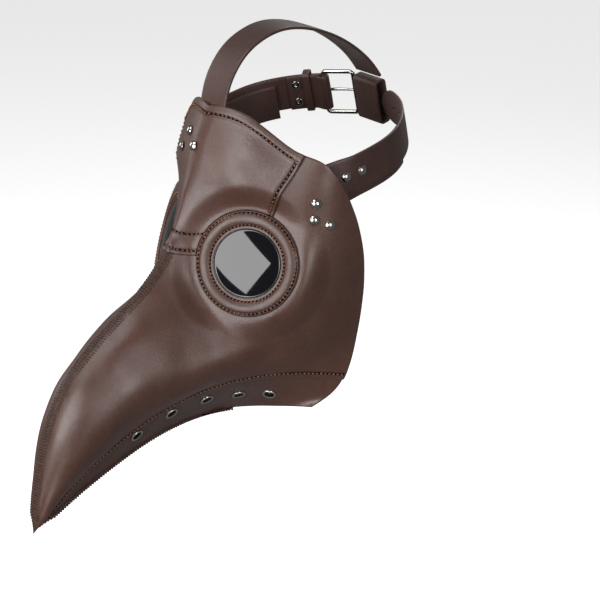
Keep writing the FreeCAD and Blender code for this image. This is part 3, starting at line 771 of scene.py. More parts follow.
def eye_cuts(radius):
    """Round cuts about both eyes."""
    return [(EYE, EYE_AXIS, radius), (EYE * MIRROR, EYE_AXIS * MIRROR, radius)]


def ridge_pucker(u, v, points):
    """Leather drawn in towards the whip stitches of the ridge."""
    arc = np.interp(u, RIDGE_U, RIDGE_ARC)
    fade = np.exp(-(np.abs(points[:, 0]) / 5.0) ** 4) * smooth((5.3 - u) / 0.2) * (v < 3.0)
    return fade * (0.12 + 0.10 * np.cos(2.0 * math.pi * arc / WHIP_PITCH))


def arc_table(start, stop, v):
    """Stations along a guide line, and the distance from the first to each."""
    us = np.linspace(start, stop, 400)
    return us, arc_lengths(skin(us, v))


RIDGE_U, RIDGE_ARC = arc_table(0.05, 6.0, 0.0)
RIDGE_ARC_END = np.interp(5.2, RIDGE_U, RIDGE_ARC)
KEEL_U, KEEL_ARC = arc_table(0.45, THROAT, KEEL_LINE)
KEEL_LIFT = 0.4               # height of the keel roll's middle over the keel line

LAP_SEAM = uv_seam([0.25, 1, 2, 3, 4, 5, 6, 7, 7.96],
                   [5.40, 5.68, 5.80, 5.85, 5.87, 5.88, 5.88, 5.89, 5.90], 2.9, LEATHER)
BROW_TOP = uv_seam([7.86] * 9, list(np.linspace(-2.17, 2.17, 9)), 3.0, LAP + LEATHER + 0.55)
SIDE_U = [6.42, 6.8, 7.2, 7.5, 7.8]
BROW_SIDE = uv_seam(SIDE_U, [tapered(SEAM_LINE, u) - 0.075 for u in SIDE_U], 2.9, LAP + LEATHER)
HEM_LOW_V = [0.0, 0.2, 0.4, 0.6, 0.8]
HEM_LOW = uv_seam([float(hem(v)) + 0.075 for v in HEM_LOW_V], HEM_LOW_V, 3.2, LAP + LEATHER)
HEM_HIGH = uv_seam([float(hem(v)) + 0.36 for v in HEM_LOW_V], HEM_LOW_V, 3.2, LAP + LEATHER)


def mirror_seam(seam):
    """The seam on the other side."""
    return Seam(flip(seam.points), flip(seam.normals), seam.pitch, seam.lift)


def build_cheek():
    """Side of the beak and face, one piece from the beak's tip to the rim."""
    us = crowded(TIP_STATION, RIM, 190, (False, True), 0.3)
    upper = crowded(0.0, CHEEK_SPLIT, 38, (True, False), 0.6)
    vs = np.concatenate([upper, crowded(CHEEK_SPLIT, LAP_LINE, 76, (False, True), 0.55)[1:]])
    U, V = np.meshgrid(us, vs, indexing="ij")
    top = hem(CHEEK_SPLIT) + CHEEK_UNDER
    under = U[:, :len(upper)]
    squeeze = (hem(V[:, :len(upper)]) + CHEEK_UNDER - CHEEK_SQUEEZE) / (top - CHEEK_SQUEEZE)
    U[:, :len(upper)] = np.where(under > CHEEK_SQUEEZE, CHEEK_SQUEEZE + (under - CHEEK_SQUEEZE) * squeeze,
                                 under)
    columns = len(vs)
    faces = [f for f in grid_faces(*U.shape)
             if f[0] % columns >= len(upper) - 1 or us[f[0] // columns + 1] <= top + 1e-6]
    verts, polygons, tint = finish_panel(U, V, faces, seams=[(LAP_SEAM, SEAM_DEPTH)], swell=0.22, seed=3,
                                         cuts=[(EYE, EYE_AXIS, LENS_HOLE + 0.4)], relief=ridge_pucker)
    verts[:, 0] = np.maximum(verts[:, 0], 0.35)
    tint = np.maximum(tint, 0.95 * np.exp(-(verts[:, 0] / 4.6) ** 6))
    both_sides("cheek", verts, polygons, [SHELL], ["cheek_panel"], tints={"seam": tint})


def build_gusset():
    """Strip under the jaw, with the five vent holes."""
    us = np.linspace(0.3, RIM, 210)
    vs = crowded(LAP_LINE - 0.25, KEEL_LINE, 30, (False, True), 0.4)
    U, V = np.meshgrid(us, vs, indexing="ij")
    cuts = [(skin(u, v), outward(u, v), EYELET_BORE + 0.95) for u, v in EYELET_SPOTS]
    verts, polygons, tint = finish_panel(U, V, high=-GAP, low=-GAP - LEATHER, swell=0.12, seed=5, cuts=cuts,
                                         cell=1.0)
    verts[:, 0] = np.maximum(verts[:, 0], 0.3)
    both_sides("chin_gusset", verts, polygons, [SHELL], ["chin_gusset"], tints={"seam": tint})


def build_brow():
    """Forehead panel: one piece across, hemmed over the nose and lapped over the cheeks."""
    s = crowded(0.0, 1.0, 92, (True, True), 0.5)
    vs = crowded(-SEAM_LINE, SEAM_LINE, 150, (True, True), 0.35)
    S, V = np.meshgrid(s, vs, indexing="ij")
    U = hem(V) + S * (RIM - hem(V))
    V = tapered(V, U)
    seams = [BROW_TOP, BROW_SIDE, mirror_seam(BROW_SIDE), HEM_LOW, mirror_seam(HEM_LOW), HEM_HIGH,
             mirror_seam(HEM_HIGH)]

    def folds(u, v, points):
        band = smooth((u - STRIP_START) / 0.04) * STRIP_HEIGHT
        turned = HEM_HEIGHT * smooth((hem(v) + HEM_WIDTH - u) / 0.06)
        round_off = BROW_ROUND * np.maximum(0.0, 1.0 - np.abs(points[:, 0]) / 6.5) ** 2
        return band + turned - round_off * smooth((u - 5.0) / 0.4)
    verts, polygons, tint = finish_panel(U, V, high=LAP + LEATHER, low=LAP, seed=11, relief=folds,
                                         seams=[(seam, SEAM_DEPTH) for seam in seams],
                                         cuts=eye_cuts(RING_OUTER + 0.35))
    make_object("forehead", verts, polygons, [SHELL], "mask", ["forehead_panel", "forehead_edge_strip"],
                tints={"seam": tint})


def build_linings():
    """Cloth linings of the cheeks and the forehead."""
    U, V = np.meshgrid(np.linspace(1.2, 6.8, 110), np.linspace(0.25, LAP_LINE - 0.4, 70), indexing="ij")
    faces = [f for f in grid_faces(*U.shape)
             if not (U.ravel()[f[2]] > hem(V.ravel()[f[2]]) + 0.2 and V.ravel()[f[1]] < CHEEK_SPLIT)]
    high = -LINING_GAP
    verts, polygons, _ = finish_panel(U, V, faces, high=high, low=high - LINING, swell=0.0, cell=2.4,
                                      cuts=[(EYE, EYE_AXIS, RING_OUTER - 5.0)])
    verts[:, 0] = np.maximum(verts[:, 0], 3.3)
    both_sides("cheek_lining", verts, polygons, [LINING_CLOTH], ["cheek_lining"], slot="lining_cloth")
    S, V = np.meshgrid(np.linspace(0.0, 1.0, 50), np.linspace(-1.85, 1.85, 90), indexing="ij")
    low = np.maximum(hem(V), 5.95)
    U = low + S * (RIM - 0.05 - low)
    high = LAP - LINING_GAP
    verts, polygons, _ = finish_panel(U, tapered(V, U), high=high, low=high - LINING, swell=0.0, cell=1.8,
                                      cuts=eye_cuts(RING_OUTER + 3.0))
    make_object("forehead_cloth", verts, polygons, [LINING_CLOTH], "mask", ["forehead_lining"],
                slot="lining_cloth")


# ---------------------------------------------------------------- ridge and keel
ACROSS = np.array([1.0, 0.0, 0.0])
LOOP_HEIGHTS = np.array([-0.5, 0.1, 0.25, 0.25])  # a loop's foot sinks into its needle hole
LOOP_CLEAR = 0.35             # from a roll's surface to the middle of the thread over it


def wire(line, radius, sides):
    """Round tube along a polyline, closed at both ends."""
    line = np.asarray(line, float)
    tangent = unit(np.gradient(line, axis=0))
    normal = np.cross(tangent[0], [0.3, 0.5, 0.8])
    verts = []
    radius = np.broadcast_to(radius, (len(line),))
    for i in range(len(line)):
        normal = unit(normal - (normal @ tangent[i]) * tangent[i])
        other = np.cross(tangent[i], normal)
        for j in range(sides):
            a = 2.0 * math.pi * j / sides
            verts.append(line[i] + (normal * math.cos(a) + other * math.sin(a)) * radius[i])
    faces = [f[::-1] for f in grid_faces(len(line), sides, True)]
    faces.append(tuple(range(sides)))
    faces.append(tuple(range((len(line) - 1) * sides, len(line) * sides))[::-1])
    return np.array(verts), faces


def resample(line, step):
    """The polyline with its points at even distances."""
    arc = arc_lengths(line)
    return sampled(np.linspace(0.0, arc[-1], int(round(arc[-1] / step)) + 1), arc, line)


def across_spots(u, distances, start):
    """Guide line positions at distances over the skin from a starting guide line, at one station."""
    v = np.linspace(start, start + (1.6 if start < 1.0 else -1.2), 60)
    return np.interp(distances, arc_lengths(skin(u, v)), v)


def whip(us, start, centre, up, radius, reach, height, thick, lean, spread):
    """Whip stitches over an edge: each loop lies on one panel, goes over the roll and back down.
    lean is in stations, spread in degrees from the top of the roll."""
    parts = []
    for i, u in enumerate(us):
        step = lean * (1.0 + 0.15 * RNG.normal())
        d = np.array([reach, reach - 0.35, reach * 0.78, reach * 0.6]) + 0.2 * RNG.normal()
        v = across_spots(u, d, start)
        feet = []
        for lead in (step, -step):
            shift = u + lead * (d / reach)
            feet.append(skin(shift, v) + outward(shift, v) * (height + LOOP_HEIGHTS)[:, None])
        angles = np.radians(np.linspace(spread, -spread, 7))
        arch = [centre[i] + up[i] * (radius * math.cos(q)) + ACROSS * (radius * math.sin(q)) for q in angles]
        line = resample(np.concatenate([feet[0], arch, flip(feet[1])[::-1]]), 0.55)
        parts.append(wire(line, thick * (1.0 + 0.07 * RNG.normal()), 7))
    return join(parts)


def corded(places):
    """Slight swelling of a roll between its stitches, four places to a stitch."""
    return 1.0 + 0.06 * np.cos(2.0 * math.pi * np.arange(places) / 4.0)


def build_ridge():
    """Rolled welt along the top of the beak, bound with close whip stitches."""
    u = np.interp(np.arange(WHIP_PITCH, RIDGE_ARC_END, WHIP_PITCH / 4.0), RIDGE_ARC, RIDGE_U)
    ups = outward(u, 0.02)
    ups[:, 0] = 0.0
    ups = unit(ups)
    line = skin(u, 0.0) - ups * RIDGE_SINK
    taper = 0.4 + 0.6 * smooth(np.arange(len(u)) * WHIP_PITCH / 4.0 / 16.0)
    make_object("ridge_roll", *wire(line, RIDGE_WELT * taper * corded(len(u)), 16), [WELT], "mask",
                ["ridge_welt"])
    loops = whip(u[2::4], 0.0, line[2::4], ups[2::4], RIDGE_WELT + LOOP_CLEAR, reach=4.5, height=LEATHER,
                 thick=0.55, lean=0.02, spread=36.0)
    make_object("ridge_thread", *loops, [WELT_THREAD], "mask")


def build_keel():
    """Sewn seam under the beak."""
    u = np.interp(np.arange(1.0, KEEL_ARC[-1], WHIP_PITCH / 4.0), KEEL_ARC, KEEL_U)
    line = skin(u, KEEL_LINE) + np.array([0.0, 0.0, KEEL_LIFT])
    ups = np.gradient(line, axis=0) @ np.array([[1.0, 0, 0], [0, 0, -1.0], [0, 1.0, 0]])
    ups = unit(ups) * np.sign(-ups[:, 2:] + 1e-9)
    run = np.arange(len(u)) * WHIP_PITCH / 4.0
    taper = 0.4 + 0.6 * smooth(run / 16.0) * smooth((run[-1] - run) / 8.0)
    make_object("keel_roll", *wire(line, KEEL_CORD * taper * corded(len(u)), 14), [WELT], "mask",
                ["keel_seam_cord"])
    loops = whip(u[2::4], KEEL_LINE, line[2::4], ups[2::4], KEEL_CORD + LOOP_CLEAR, reach=3.0, height=-GAP,
                 thick=0.46, lean=0.012, spread=40.0)
    make_object("keel_thread", *loops, [WELT_THREAD], "mask")


# ---------------------------------------------------------------- eyes
OUTER_ROW, OUTER_COUNT = 32.7, 74
INNER_ROW, INNER_COUNT = 25.2, 62
PAD_INNER, PAD_OUTER = 25.0, 33.6
PAD_SEAT = 3.75


def ring_height(r):
    """Height of the eye ring over the eye plane at a radius."""
    pad = PAD_SEAT + 1.1 * np.sin(np.clip((r - PAD_INNER) / (PAD_OUTER - PAD_INNER), 0, 1) * math.pi)
    edge = PAD_SEAT - 1.5 * smooth((r - PAD_OUTER) / 1.4) ** 2
    height = np.where(r > PAD_OUTER, edge, pad)
    height = np.where(r < PAD_INNER, PAD_SEAT - 0.25 * smooth((PAD_INNER - r) / 1.2), height)
    return np.where(r < 22.9, 3.5 - 1.7 * (22.9 - r) / 0.4, height)


def build_ring():
    """Padded leather ring, pressed in along its two rows of stitches."""
    segments = 300
    radii = np.concatenate([[RING_INNER + 0.02], np.linspace(22.9, 26.2, 13),
                            np.linspace(26.4, 33.9, 34), np.linspace(34.05, 35.0, 7)])
    angles = np.arange(segments) * 2.0 * math.pi / segments
    R, A = np.meshgrid(radii, angles, indexing="ij")
    H = ring_height(R)
    for where, count, depth in ((OUTER_ROW, OUTER_COUNT, 0.42), (INNER_ROW, INNER_COUNT, 0.3)):
        wave = np.cos(A * count)
        H = H - depth * np.exp(-((R - where) / 0.75) ** 2) * (0.78 - 0.22 * wave)
        H = H + 0.10 * depth * wave * np.exp(-((R - where) / 2.2) ** 2)
    H = H + 0.10 * np.sin(3 * A + 1.0) * smooth((R - 26) / 4) + 0.06 * np.sin(7 * A) * smooth((R - 27) / 3)
    top = np.stack([R * np.cos(A), R * np.sin(A), H], -1).reshape(-1, 3)
    base = np.stack([radii[[0, -1]][:, None] * np.cos(angles), radii[[0, -1]][:, None] * np.sin(angles),
                     np.full((2, segments), 1.75)], -1).reshape(-1, 3)
    rows = len(radii)
    faces = [f[::-1] for f in grid_faces(rows, segments, True)]
    first = rows * segments
    for j in range(segments):
        k = (j + 1) % segments
        faces.append((j, first + j, first + k, k))
        faces.append(((rows - 1) * segments + j, (rows - 1) * segments + k, first + segments + k,
                      first + segments + j))
        faces.append((first + j, first + segments + j, first + segments + k, first + k))
    verts = placed(np.concatenate([top, base]), EYE, EYE_AXIS, EYE_RIGHT)
    # Painted shade in the grooves of the two stitch rows. The ring's walls and underside go half way to the
    # dark tone.
    near = np.exp(-((R - OUTER_ROW) / 1.2) ** 2) + np.exp(-((R - INNER_ROW) / 1.1) ** 2)
    tint = np.concatenate([0.6 * near.ravel(), np.full(2 * segments, 0.5)])
    both_sides("eye_ring_leather", verts, faces, [RING], ["eye_ring"], tints={"seam": np.clip(tint, 0, 1)})


def ring_seam(radius, count, lift):
    """Seam round the eye with a whole number of stitches."""
    a = np.linspace(0.0, 2.0 * math.pi, 400)
    circle = EYE + radius * (np.cos(a)[:, None] * EYE_RIGHT + np.sin(a)[:, None] * EYE_UP)
    seam = Seam(circle, np.tile(EYE_AXIS, (len(a), 1)), 2.0 * math.pi * radius / count, lift)
    seam.count = count
    seam.pitch = seam.length / count
    return seam


def build_lens():
    """Domed lens, and the plastic ring that holds it from inside."""
    rim, rise, top = 21.8, 2.6, 2.55  # dome's radius, its height and where it starts
    radius = (rim * rim + rise * rise) / (2.0 * rise)
    dome = [(radius * math.sin(q), top + rise - radius + radius * math.cos(q))
            for q in np.linspace(math.asin(rim / radius), 0.0, 26)]
    verts, faces = lathe([(0.0, -0.3), (24.6, -0.3), (24.6, 1.6), (22.4, 1.65), (22.2, top)] + dome, 128,
                         False)
    both_sides("lens_dome", placed(verts, EYE, EYE_AXIS, EYE_RIGHT), faces, [GLASS], ["lens"],
               slot="lens_glass")
    outline = rounded([(20.5, -2.0), (29.0, -2.0), (29.0, -0.06), (25.4, -0.06), (25.4, -0.36),
                       (20.5, -0.36)], 0.35)
    verts, faces = lathe(outline, 96)
    both_sides("lens_holder", placed(verts, EYE, EYE_AXIS, EYE_RIGHT), faces, [PLASTIC],
               ["lens_retainer"], slot="black_plastic")


# ---------------------------------------------------------------- metal parts
def rivet_mesh(grip):
    """Domed cap with a pressed rim, shank and inner burr, along Z from its seat."""
    dome = [(0.0, 1.85), (0.7, 1.81), (1.4, 1.68), (2.0, 1.46), (2.5, 1.15), (2.9, 0.8), (3.12, 0.56),
            (3.24, 0.46), (3.36, 0.38), (3.4, 0.26), (3.36, 0.08), (3.2, 0.0)]
    shank = [(1.5, 0.0), (1.5, -grip), (2.8, -grip), (3.0, -grip - 0.15), (3.0, -grip - 0.55),
             (2.7, -grip - 0.75), (1.2, -grip - 0.75), (0.9, -grip - 0.45), (0.0, -grip - 0.4)]
    verts, faces = lathe(dome + shank, 40, False)
    return verts, [f[::-1] for f in faces]


def rivet_set(spots, seat, grip):
    """Rivets whose caps sit at a height over the skin, at (station, guide line) spots."""
    verts, faces = rivet_mesh(grip)
    return join([(placed(verts, skin(u, v) + outward(u, v) * seat, outward(u, v)), faces)
                 for u, v in spots])


def build_rivets():
    """Rivets at the temples and on the brow, and the eyelets of the vent holes."""
    seat = LEATHER + 0.4
    both_sides("temple_rivet_set", *rivet_set(RIVET_SPOTS, seat, seat + 2.4), [NICKEL], ["temple_rivets"],
               slot="nickel")
    seat = LAP + LEATHER + BROW_SEAT
    grip = seat - LAP + LINING_GAP + LINING + BROW_SEAT
    make_object("brow_rivet_set", *rivet_set(BROW_RIVET_SPOTS, seat, grip), [NICKEL], "mask",
                ["brow_rivets"], slot="nickel")
    outline = rounded([(3.1, -2.55), (4.2, -2.55), (4.2, -2.05), (3.95, -2.05), (3.95, 0.35), (5.0, 0.35),
                       (4.75, 0.85), (4.1, 1.2), (3.1, 0.7)], 0.22)
    verts, faces = lathe(outline, 48)
    # Faces inside the bore take the painted bore shade.
    inside = [int(np.hypot(*verts[list(f), :2].T).max() < EYELET_BORE + 0.35) for f in faces]
    verts, faces = join([(placed(verts, skin(u, v), outward(u, v)), faces) for u, v in EYELET_SPOTS])
    both_sides("vent_eyelet_set", verts, faces, [EYELET_METAL, EYELET_BORE_SHADE], ["vent_eyelets"],
               slot="nickel", marks=inside * len(EYELET_SPOTS))


# ---------------------------------------------------------------- straps
RUN = np.array([0.0, math.cos(STRAP_TILT), math.sin(STRAP_TILT)])
RISE = np.array([0.0, -math.sin(STRAP_TILT), math.cos(STRAP_TILT)])
ORIGIN = np.array([0.0, 0.0, STRAP_LEVEL])
HALF = STRAP_WIDTH / 2.0
ROOT_START = -0.6             # index along the straps' path of their end inside the mask
RIM_DIP = 4.2                 # how far their roots dip to pass inside the rim
RIM_NORMAL = outward(RIM, 3.15)
BAR_WRAP = 1.95               # inner radius of the fold round the buckle's bar
FOLD_RISE = 3.588             # how far the folded end rises to lie against the strap
STRAP_HOLE = 1.6
TAB_LENGTH = (-9.0, 17.0)     # ends of a temple tab, from its heel towards the strap
CAP_LIFT = 0.2                # a rivet's cap over a strap


def strap_point(t, out=0.0, rise=0.0):
    """Points of the left strap's line, with a distance outside and above its middle."""
    t = np.asarray(t, float).ravel()
    at = basis(t, len(STRAP_PATH)) @ STRAP_PATH
    slope = (basis(t + 0.02, len(STRAP_PATH)) - basis(t - 0.02, len(STRAP_PATH))) @ STRAP_PATH
    slope = unit(slope)
    x = at[:, 0] + out * slope[:, 1]
    run = at[:, 1] - out * slope[:, 0]
    return ORIGIN + x[:, None] * [1.0, 0.0, 0.0] + run[:, None] * RUN + np.reshape(rise, (-1, 1)) * RISE


def strap_out(t):
    """Outer side of the left strap."""
    return unit(strap_point(t, 1.0) - strap_point(t, 0.0))


def find_index(x):
    """Index along the path at which the strap is that far from the middle of the back."""
    low, high = 3.0, 5.0
    for _ in range(40):
        middle = (low + high) / 2.0
        if (basis([middle], len(STRAP_PATH)) @ STRAP_PATH)[0, 0] > x:
            low = middle
        else:
            high = middle
    return low


BAR_T = find_index(BAR_X)
BAR_DROP = -1.9
BAR = strap_point([BAR_T], BAR_DROP)[0]
BAR_OUT = strap_out([BAR_T])[0]
BAR_AHEAD = np.cross(RISE, BAR_OUT)


def side_line(t, height, rise=0.0):
    """Line, outer side and width direction of a side strap, whose root dips under the rim."""
    t = np.asarray(t, float).ravel()
    dip = RIM_DIP * smooth((0.45 - t) / 1.05)
    turn = smooth((0.5 - t) / 0.6)[:, None]
    out = unit(strap_out(t) * (1.0 - turn) + RIM_NORMAL * turn)
    side = unit(np.cross(out, np.cross(np.tile(RISE, (len(t), 1)), out)))
    line = strap_point(t) + out * (height - dip)[:, None] + side * rise
    return line, out, side


BELT_EDGE = 0.45              # radius at a strap's edges
BELT_CROWN = 0.12             # how much its outer face is rounded up


def belt(line, out, side, thick=STRAP_THICK, tip=None):
    """Strap along a line: out is its outer side, side its width direction.
    tip(s, length) gives the half width by distance from the start."""
    angles = np.linspace(math.pi / 2, -math.pi / 2, 7)[1:-1]
    edge = [(BELT_EDGE * math.cos(a), thick / 2 + thick / 2 * math.sin(a)) for a in angles]
    flat = HALF - BELT_EDGE
    top = np.linspace(-1.0, 1.0, 15)
    section = [(x * flat, thick + BELT_CROWN * (1.0 - x * x)) for x in top]
    section += [(flat + x, y) for x, y in edge]
    section += [(x * flat, 0.0) for x in top[::-1]]
    section += [(-flat - x, y) for x, y in edge[::-1]]
    section = np.array(section)
    arc = arc_lengths(line)
    width = np.ones(len(line)) if tip is None else np.array([tip(s, arc[-1]) for s in arc]) / HALF
    verts = np.concatenate([line[i] + side[i] * (section[:, :1] * width[i]) + out[i] * section[:, 1:]
                            for i in range(len(line))])
    count = len(section)
    faces = grid_faces(len(line), count, True)
    faces.append(tuple(range(count))[::-1])
    faces.append(tuple(range((len(line) - 1) * count, len(line) * count)))
    return verts, outward_faces(verts, faces)


def outward_faces(verts, faces):
    """The faces, turned over if the closed mesh is inside out."""
    middle = verts.mean(0)
    volume = 0.0
    for f in faces:
        a = verts[f[0]] - middle
        for j, k in zip(f[1:], f[2:]):
            volume += a @ np.cross(verts[j] - middle, verts[k] - middle)
    return faces if volume > 0 else [tuple(f)[::-1] for f in faces]


def blended(name, verts, faces, replaced, right):
    """Strap on one side, mirrored for the right, left unattached to any body with its transform baked."""
    if right:
        verts, faces = mirrored(verts, faces)
    side = "right" if right else "left"
    obj = make_object(f"{name}_{side}", verts, faces, [STRAP], None, replaced, "strap_leather")
    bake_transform(obj)


def punch(obj, points, axis, radius, depth):
    """Cuts round holes through a mesh, about millimetre points."""
    verts, faces = lathe([(0.0, -depth), (radius, -depth), (radius, depth), (0.0, depth)], 24, False)
    verts, faces = join([(placed(verts, point, axis), faces) for point in points])
    cutter = make_object("cutter", verts, outward_faces(verts, faces), [], "mask")
    cut = obj.modifiers.new("holes", "BOOLEAN")
    cut.object = cutter
    cut.solver = "EXACT"
    found = bpy.context.evaluated_depsgraph_get()
    mesh = bpy.data.meshes.new_from_object(obj.evaluated_get(found))
    obj.modifiers.clear()
    obj.data = mesh
    bpy.data.objects.remove(cutter)


POINT = 13.0                  # length of the left strap's rounded end
STRAP_HOLES = 5
HOLE_START = 14.0             # from the strap's end to its first hole
HOLE_STEP = 9.0


def build_left_strap():
    """Left strap: one piece from inside the rim to its rounded, punched point."""
    def pointed(s, total):
        return HALF * min(1.0, math.sqrt(max(0.02, 1.0 - max(0.0, (s - total + POINT) / POINT) ** 2)))
    t = np.linspace(ROOT_START, 5.0, 150)
    verts, faces = belt(*side_line(t, GAP), tip=pointed)
    strap = make_object("outer_strap_left", verts, faces, [STRAP], None, ["side_strap_left"], "strap_leather")
    places = [STRAP_PATH[-1, 0] + HOLE_START + HOLE_STEP * i for i in range(STRAP_HOLES)]
    punch(strap, [strap_point([find_index(x)])[0] for x in places], RUN, STRAP_HOLE, 9.0)
    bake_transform(strap)


def build_right_strap():
    """Right strap, whose end folds round the buckle's heel bar and lies back on itself."""
    outer = side_line(np.linspace(ROOT_START, BAR_T, 120), GAP)
    t = np.linspace(BAR_T, BAR_T - 1.0, 40)
    drop = BAR_DROP - BAR_WRAP - STRAP_THICK + FOLD_RISE * smooth((BAR_T - t) / 0.4)
    line = np.concatenate([strap_point([q], d) for q, d in zip(t, drop)])
    inner = line, strap_out(t), np.tile(RISE, (len(t), 1))
    angles = np.linspace(0.0, math.pi, 24)
    outs = np.array([BAR_OUT * math.cos(q) + BAR_AHEAD * math.sin(q) for q in angles])
    turn = BAR + outs * BAR_WRAP, outs, np.tile(RISE, (len(angles), 1))
    verts, faces = join([belt(*part) for part in (outer, inner, turn)])
    blended("outer_strap", verts, faces, ["side_strap_right"], True)


def build_under_straps():
    """Shorter straps under the outer ones, a little lower."""
    t = np.linspace(ROOT_START, TUCK_END, 90)
    for right in (False, True):
        verts, faces = belt(*side_line(t, -STRAP_THICK, -TUCK_DROP), STRAP_THICK - GAP)
        blended("under_strap", verts, faces, ["inner_strap_right" if right else "inner_strap_left"], right)


def build_strap_rivets():
    """Rivets through both layers of each side strap, and through the buckle's fold."""
    verts, faces = rivet_mesh(2 * STRAP_THICK + 0.3)
    seats = [side_line([q], STRAP_THICK + 0.22) for q in RIVET_INDEXES]
    both_sides("strap_rivet_set", *join([(placed(verts, line[0], out[0]), faces) for line, out, _ in seats]),
               [NICKEL], ["strap_rivets"], slot="nickel", bodies=("left_strap", "right_strap"))
    verts, faces = rivet_mesh(2 * STRAP_THICK + 0.9)
    q = BAR_T - 0.78
    verts, faces = join([(placed(verts, strap_point([q], STRAP_THICK + CAP_LIFT, rise)[0], strap_out([q])[0]),
                          faces) for rise in (-6.5, 6.5)])
    make_object("fold_rivet_set", *mirrored(verts, faces), [NICKEL], "right_strap",
                ["buckle_fold_rivets"], "nickel")


def patch(u, v, shape, high):
    """Leather of a strap's thickness over a grid of spots, with its outer face at a height."""
    points, normals, faces = skin(u, v), outward(u, v), grid_faces(*shape)
    a, b, c = points[list(faces[0][:3])]
    if np.cross(b - a, c - a) @ normals[faces[0][0]] <= 0:
        faces = [f[::-1] for f in faces]
    return thicken(points, normals, faces, high, high - STRAP_THICK)


def build_tabs():
    """Leather tab inside each temple: it holds the strap's root and takes the three rivets."""
    heel, foot = skin(7.22, 3.06), side_line([-0.1], 0.0)[0][0]
    normal = outward(7.3, 3.06)
    along = unit(foot - heel)
    across = unit(np.cross(normal, along))
    a, b = np.meshgrid(np.linspace(*TAB_LENGTH, 24), np.linspace(-HALF, HALF, 22), indexing="ij")
    target = np.stack([a.ravel(), b.ravel()], 1)
    spots = np.tile([7.3, 3.1], (len(target), 1))
    axes = np.stack([along, across])
    step = 0.01
    for _ in range(8):
        here = (skin(spots[:, 0], spots[:, 1]) - heel) @ axes.T
        du = ((skin(spots[:, 0] + step, spots[:, 1]) - heel) @ axes.T - here) / step
        dv = ((skin(spots[:, 0], spots[:, 1] + step) - heel) @ axes.T - here) / step
        change = np.linalg.solve(np.stack([du, dv], -1), (target - here)[..., None])[..., 0]
        spots = spots + np.clip(change, -0.3, 0.3)
    u, v = np.minimum(spots[:, 0], RIM - 0.04), spots[:, 1]
    verts, polygons = patch(u, v, a.shape, -LINING_GAP)
    both_sides("temple_tab", verts, polygons, [STRAP], ["anchor_tab"], slot="strap_leather")


def build_top_strap():
    """Strap over the crown, from under the forehead's edge to the loop at the back."""
    root = np.array([(-65.6, 80.5), (-63.9, 86.2), (-62.6, 91.8), (-61.2, 98.5), (-57.6, 108.7)])
    knots = np.concatenate([root, CROWN_PATH[2:]])
    yz = basis(np.linspace(0.0, len(knots) - 1.0, 130), len(knots)) @ knots
    line = np.stack([np.zeros(len(yz)), yz[:, 0], yz[:, 1]], 1)
    out = np.cross(ACROSS, unit(np.gradient(line, axis=0)))
    verts, faces = belt(line, out, np.tile(ACROSS, (len(line), 1)))
    strap = make_object("crown_strap", verts, faces, [STRAP], None, ["top_strap"], "strap_leather")
    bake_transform(strap)
    u, v = np.meshgrid(np.linspace(ROOT_FOOT, RIM - 0.03, 20), np.linspace(-0.47, 0.47, 20), indexing="ij")
    verts, polygons = patch(u.ravel(), v.ravel(), u.shape, LAP - LINING_GAP - LINING - GAP)
    make_object("crown_root", verts, polygons, [STRAP], "mask", ["top_strap_anchor"], "strap_leather")


# ---------------------------------------------------------------- loops and buckle
def rounded_rect(half_a, half_b, radius, arc=8):
    """Closed outline of a rounded rectangle, with its outward directions."""
    spots, normals = [], []
    for a, b, start in ((1, 1, 0.0), (-1, 1, 90.0), (-1, -1, 180.0), (1, -1, 270.0)):
        for q in np.radians(np.linspace(start, start + 90.0, arc)):
            normals.append((math.cos(q), math.sin(q)))
            spots.append((a * (half_a - radius) + radius * math.cos(q),
                          b * (half_b - radius) + radius * math.sin(q)))
    return np.array(spots), np.array(normals)


def hoop(centre, a, b, outline, section):
    """Closed band round an outline in the plane of a and b. section holds (width, height) points."""
    spots, normals = outline
    base = centre + spots[:, :1] * a + spots[:, 1:] * b
    away = normals[:, :1] * a + normals[:, 1:] * b
    verts = np.concatenate([p + np.cross(a, b) * section[:, :1] + q * section[:, 1:]
                            for p, q in zip(base, away)])
    faces = [tuple(k % len(verts) for k in f) for f in grid_faces(len(base) + 1, len(section), True)]
    return verts, outward_faces(verts, faces)


def band_section(half_width, thick):
    """Section of a flat leather band."""
    return rounded_rect(half_width, thick / 2.0, BELT_EDGE, 5)[0] + [0.0, thick / 2.0]


def build_loops():
    """Keeper behind the buckle, and the loop that hangs the top strap on the side straps."""
    t = BAR_T - 0.5
    out = strap_out([t])[0]
    verts, faces = hoop(strap_point([t], 1.15)[0], out, RISE, rounded_rect(3.75, HALF + 0.6, 1.2),
                        band_section(2.5, 1.5))
    make_object("keeper", *mirrored(verts, faces), [STRAP], "right_strap", ["keeper_loop"],
                "strap_leather")
    centre = ORIGIN + RUN * (STRAP_BACK + 1.75)
    verts, faces = hoop(centre, RUN, RISE, rounded_rect(3.25, HALF + 2.0, 1.6), band_section(HALF - 1.0, 1.8))
    make_object("crown_loop", verts, faces, [STRAP], "top_strap", ["top_strap_loop"], "strap_leather")


FRAME_REACH = 11.25           # half of the buckle's length and of its height
FRAME_HALF = 15.5
FRAME_WIRE = 1.5
PIN_WIRE = 1.05


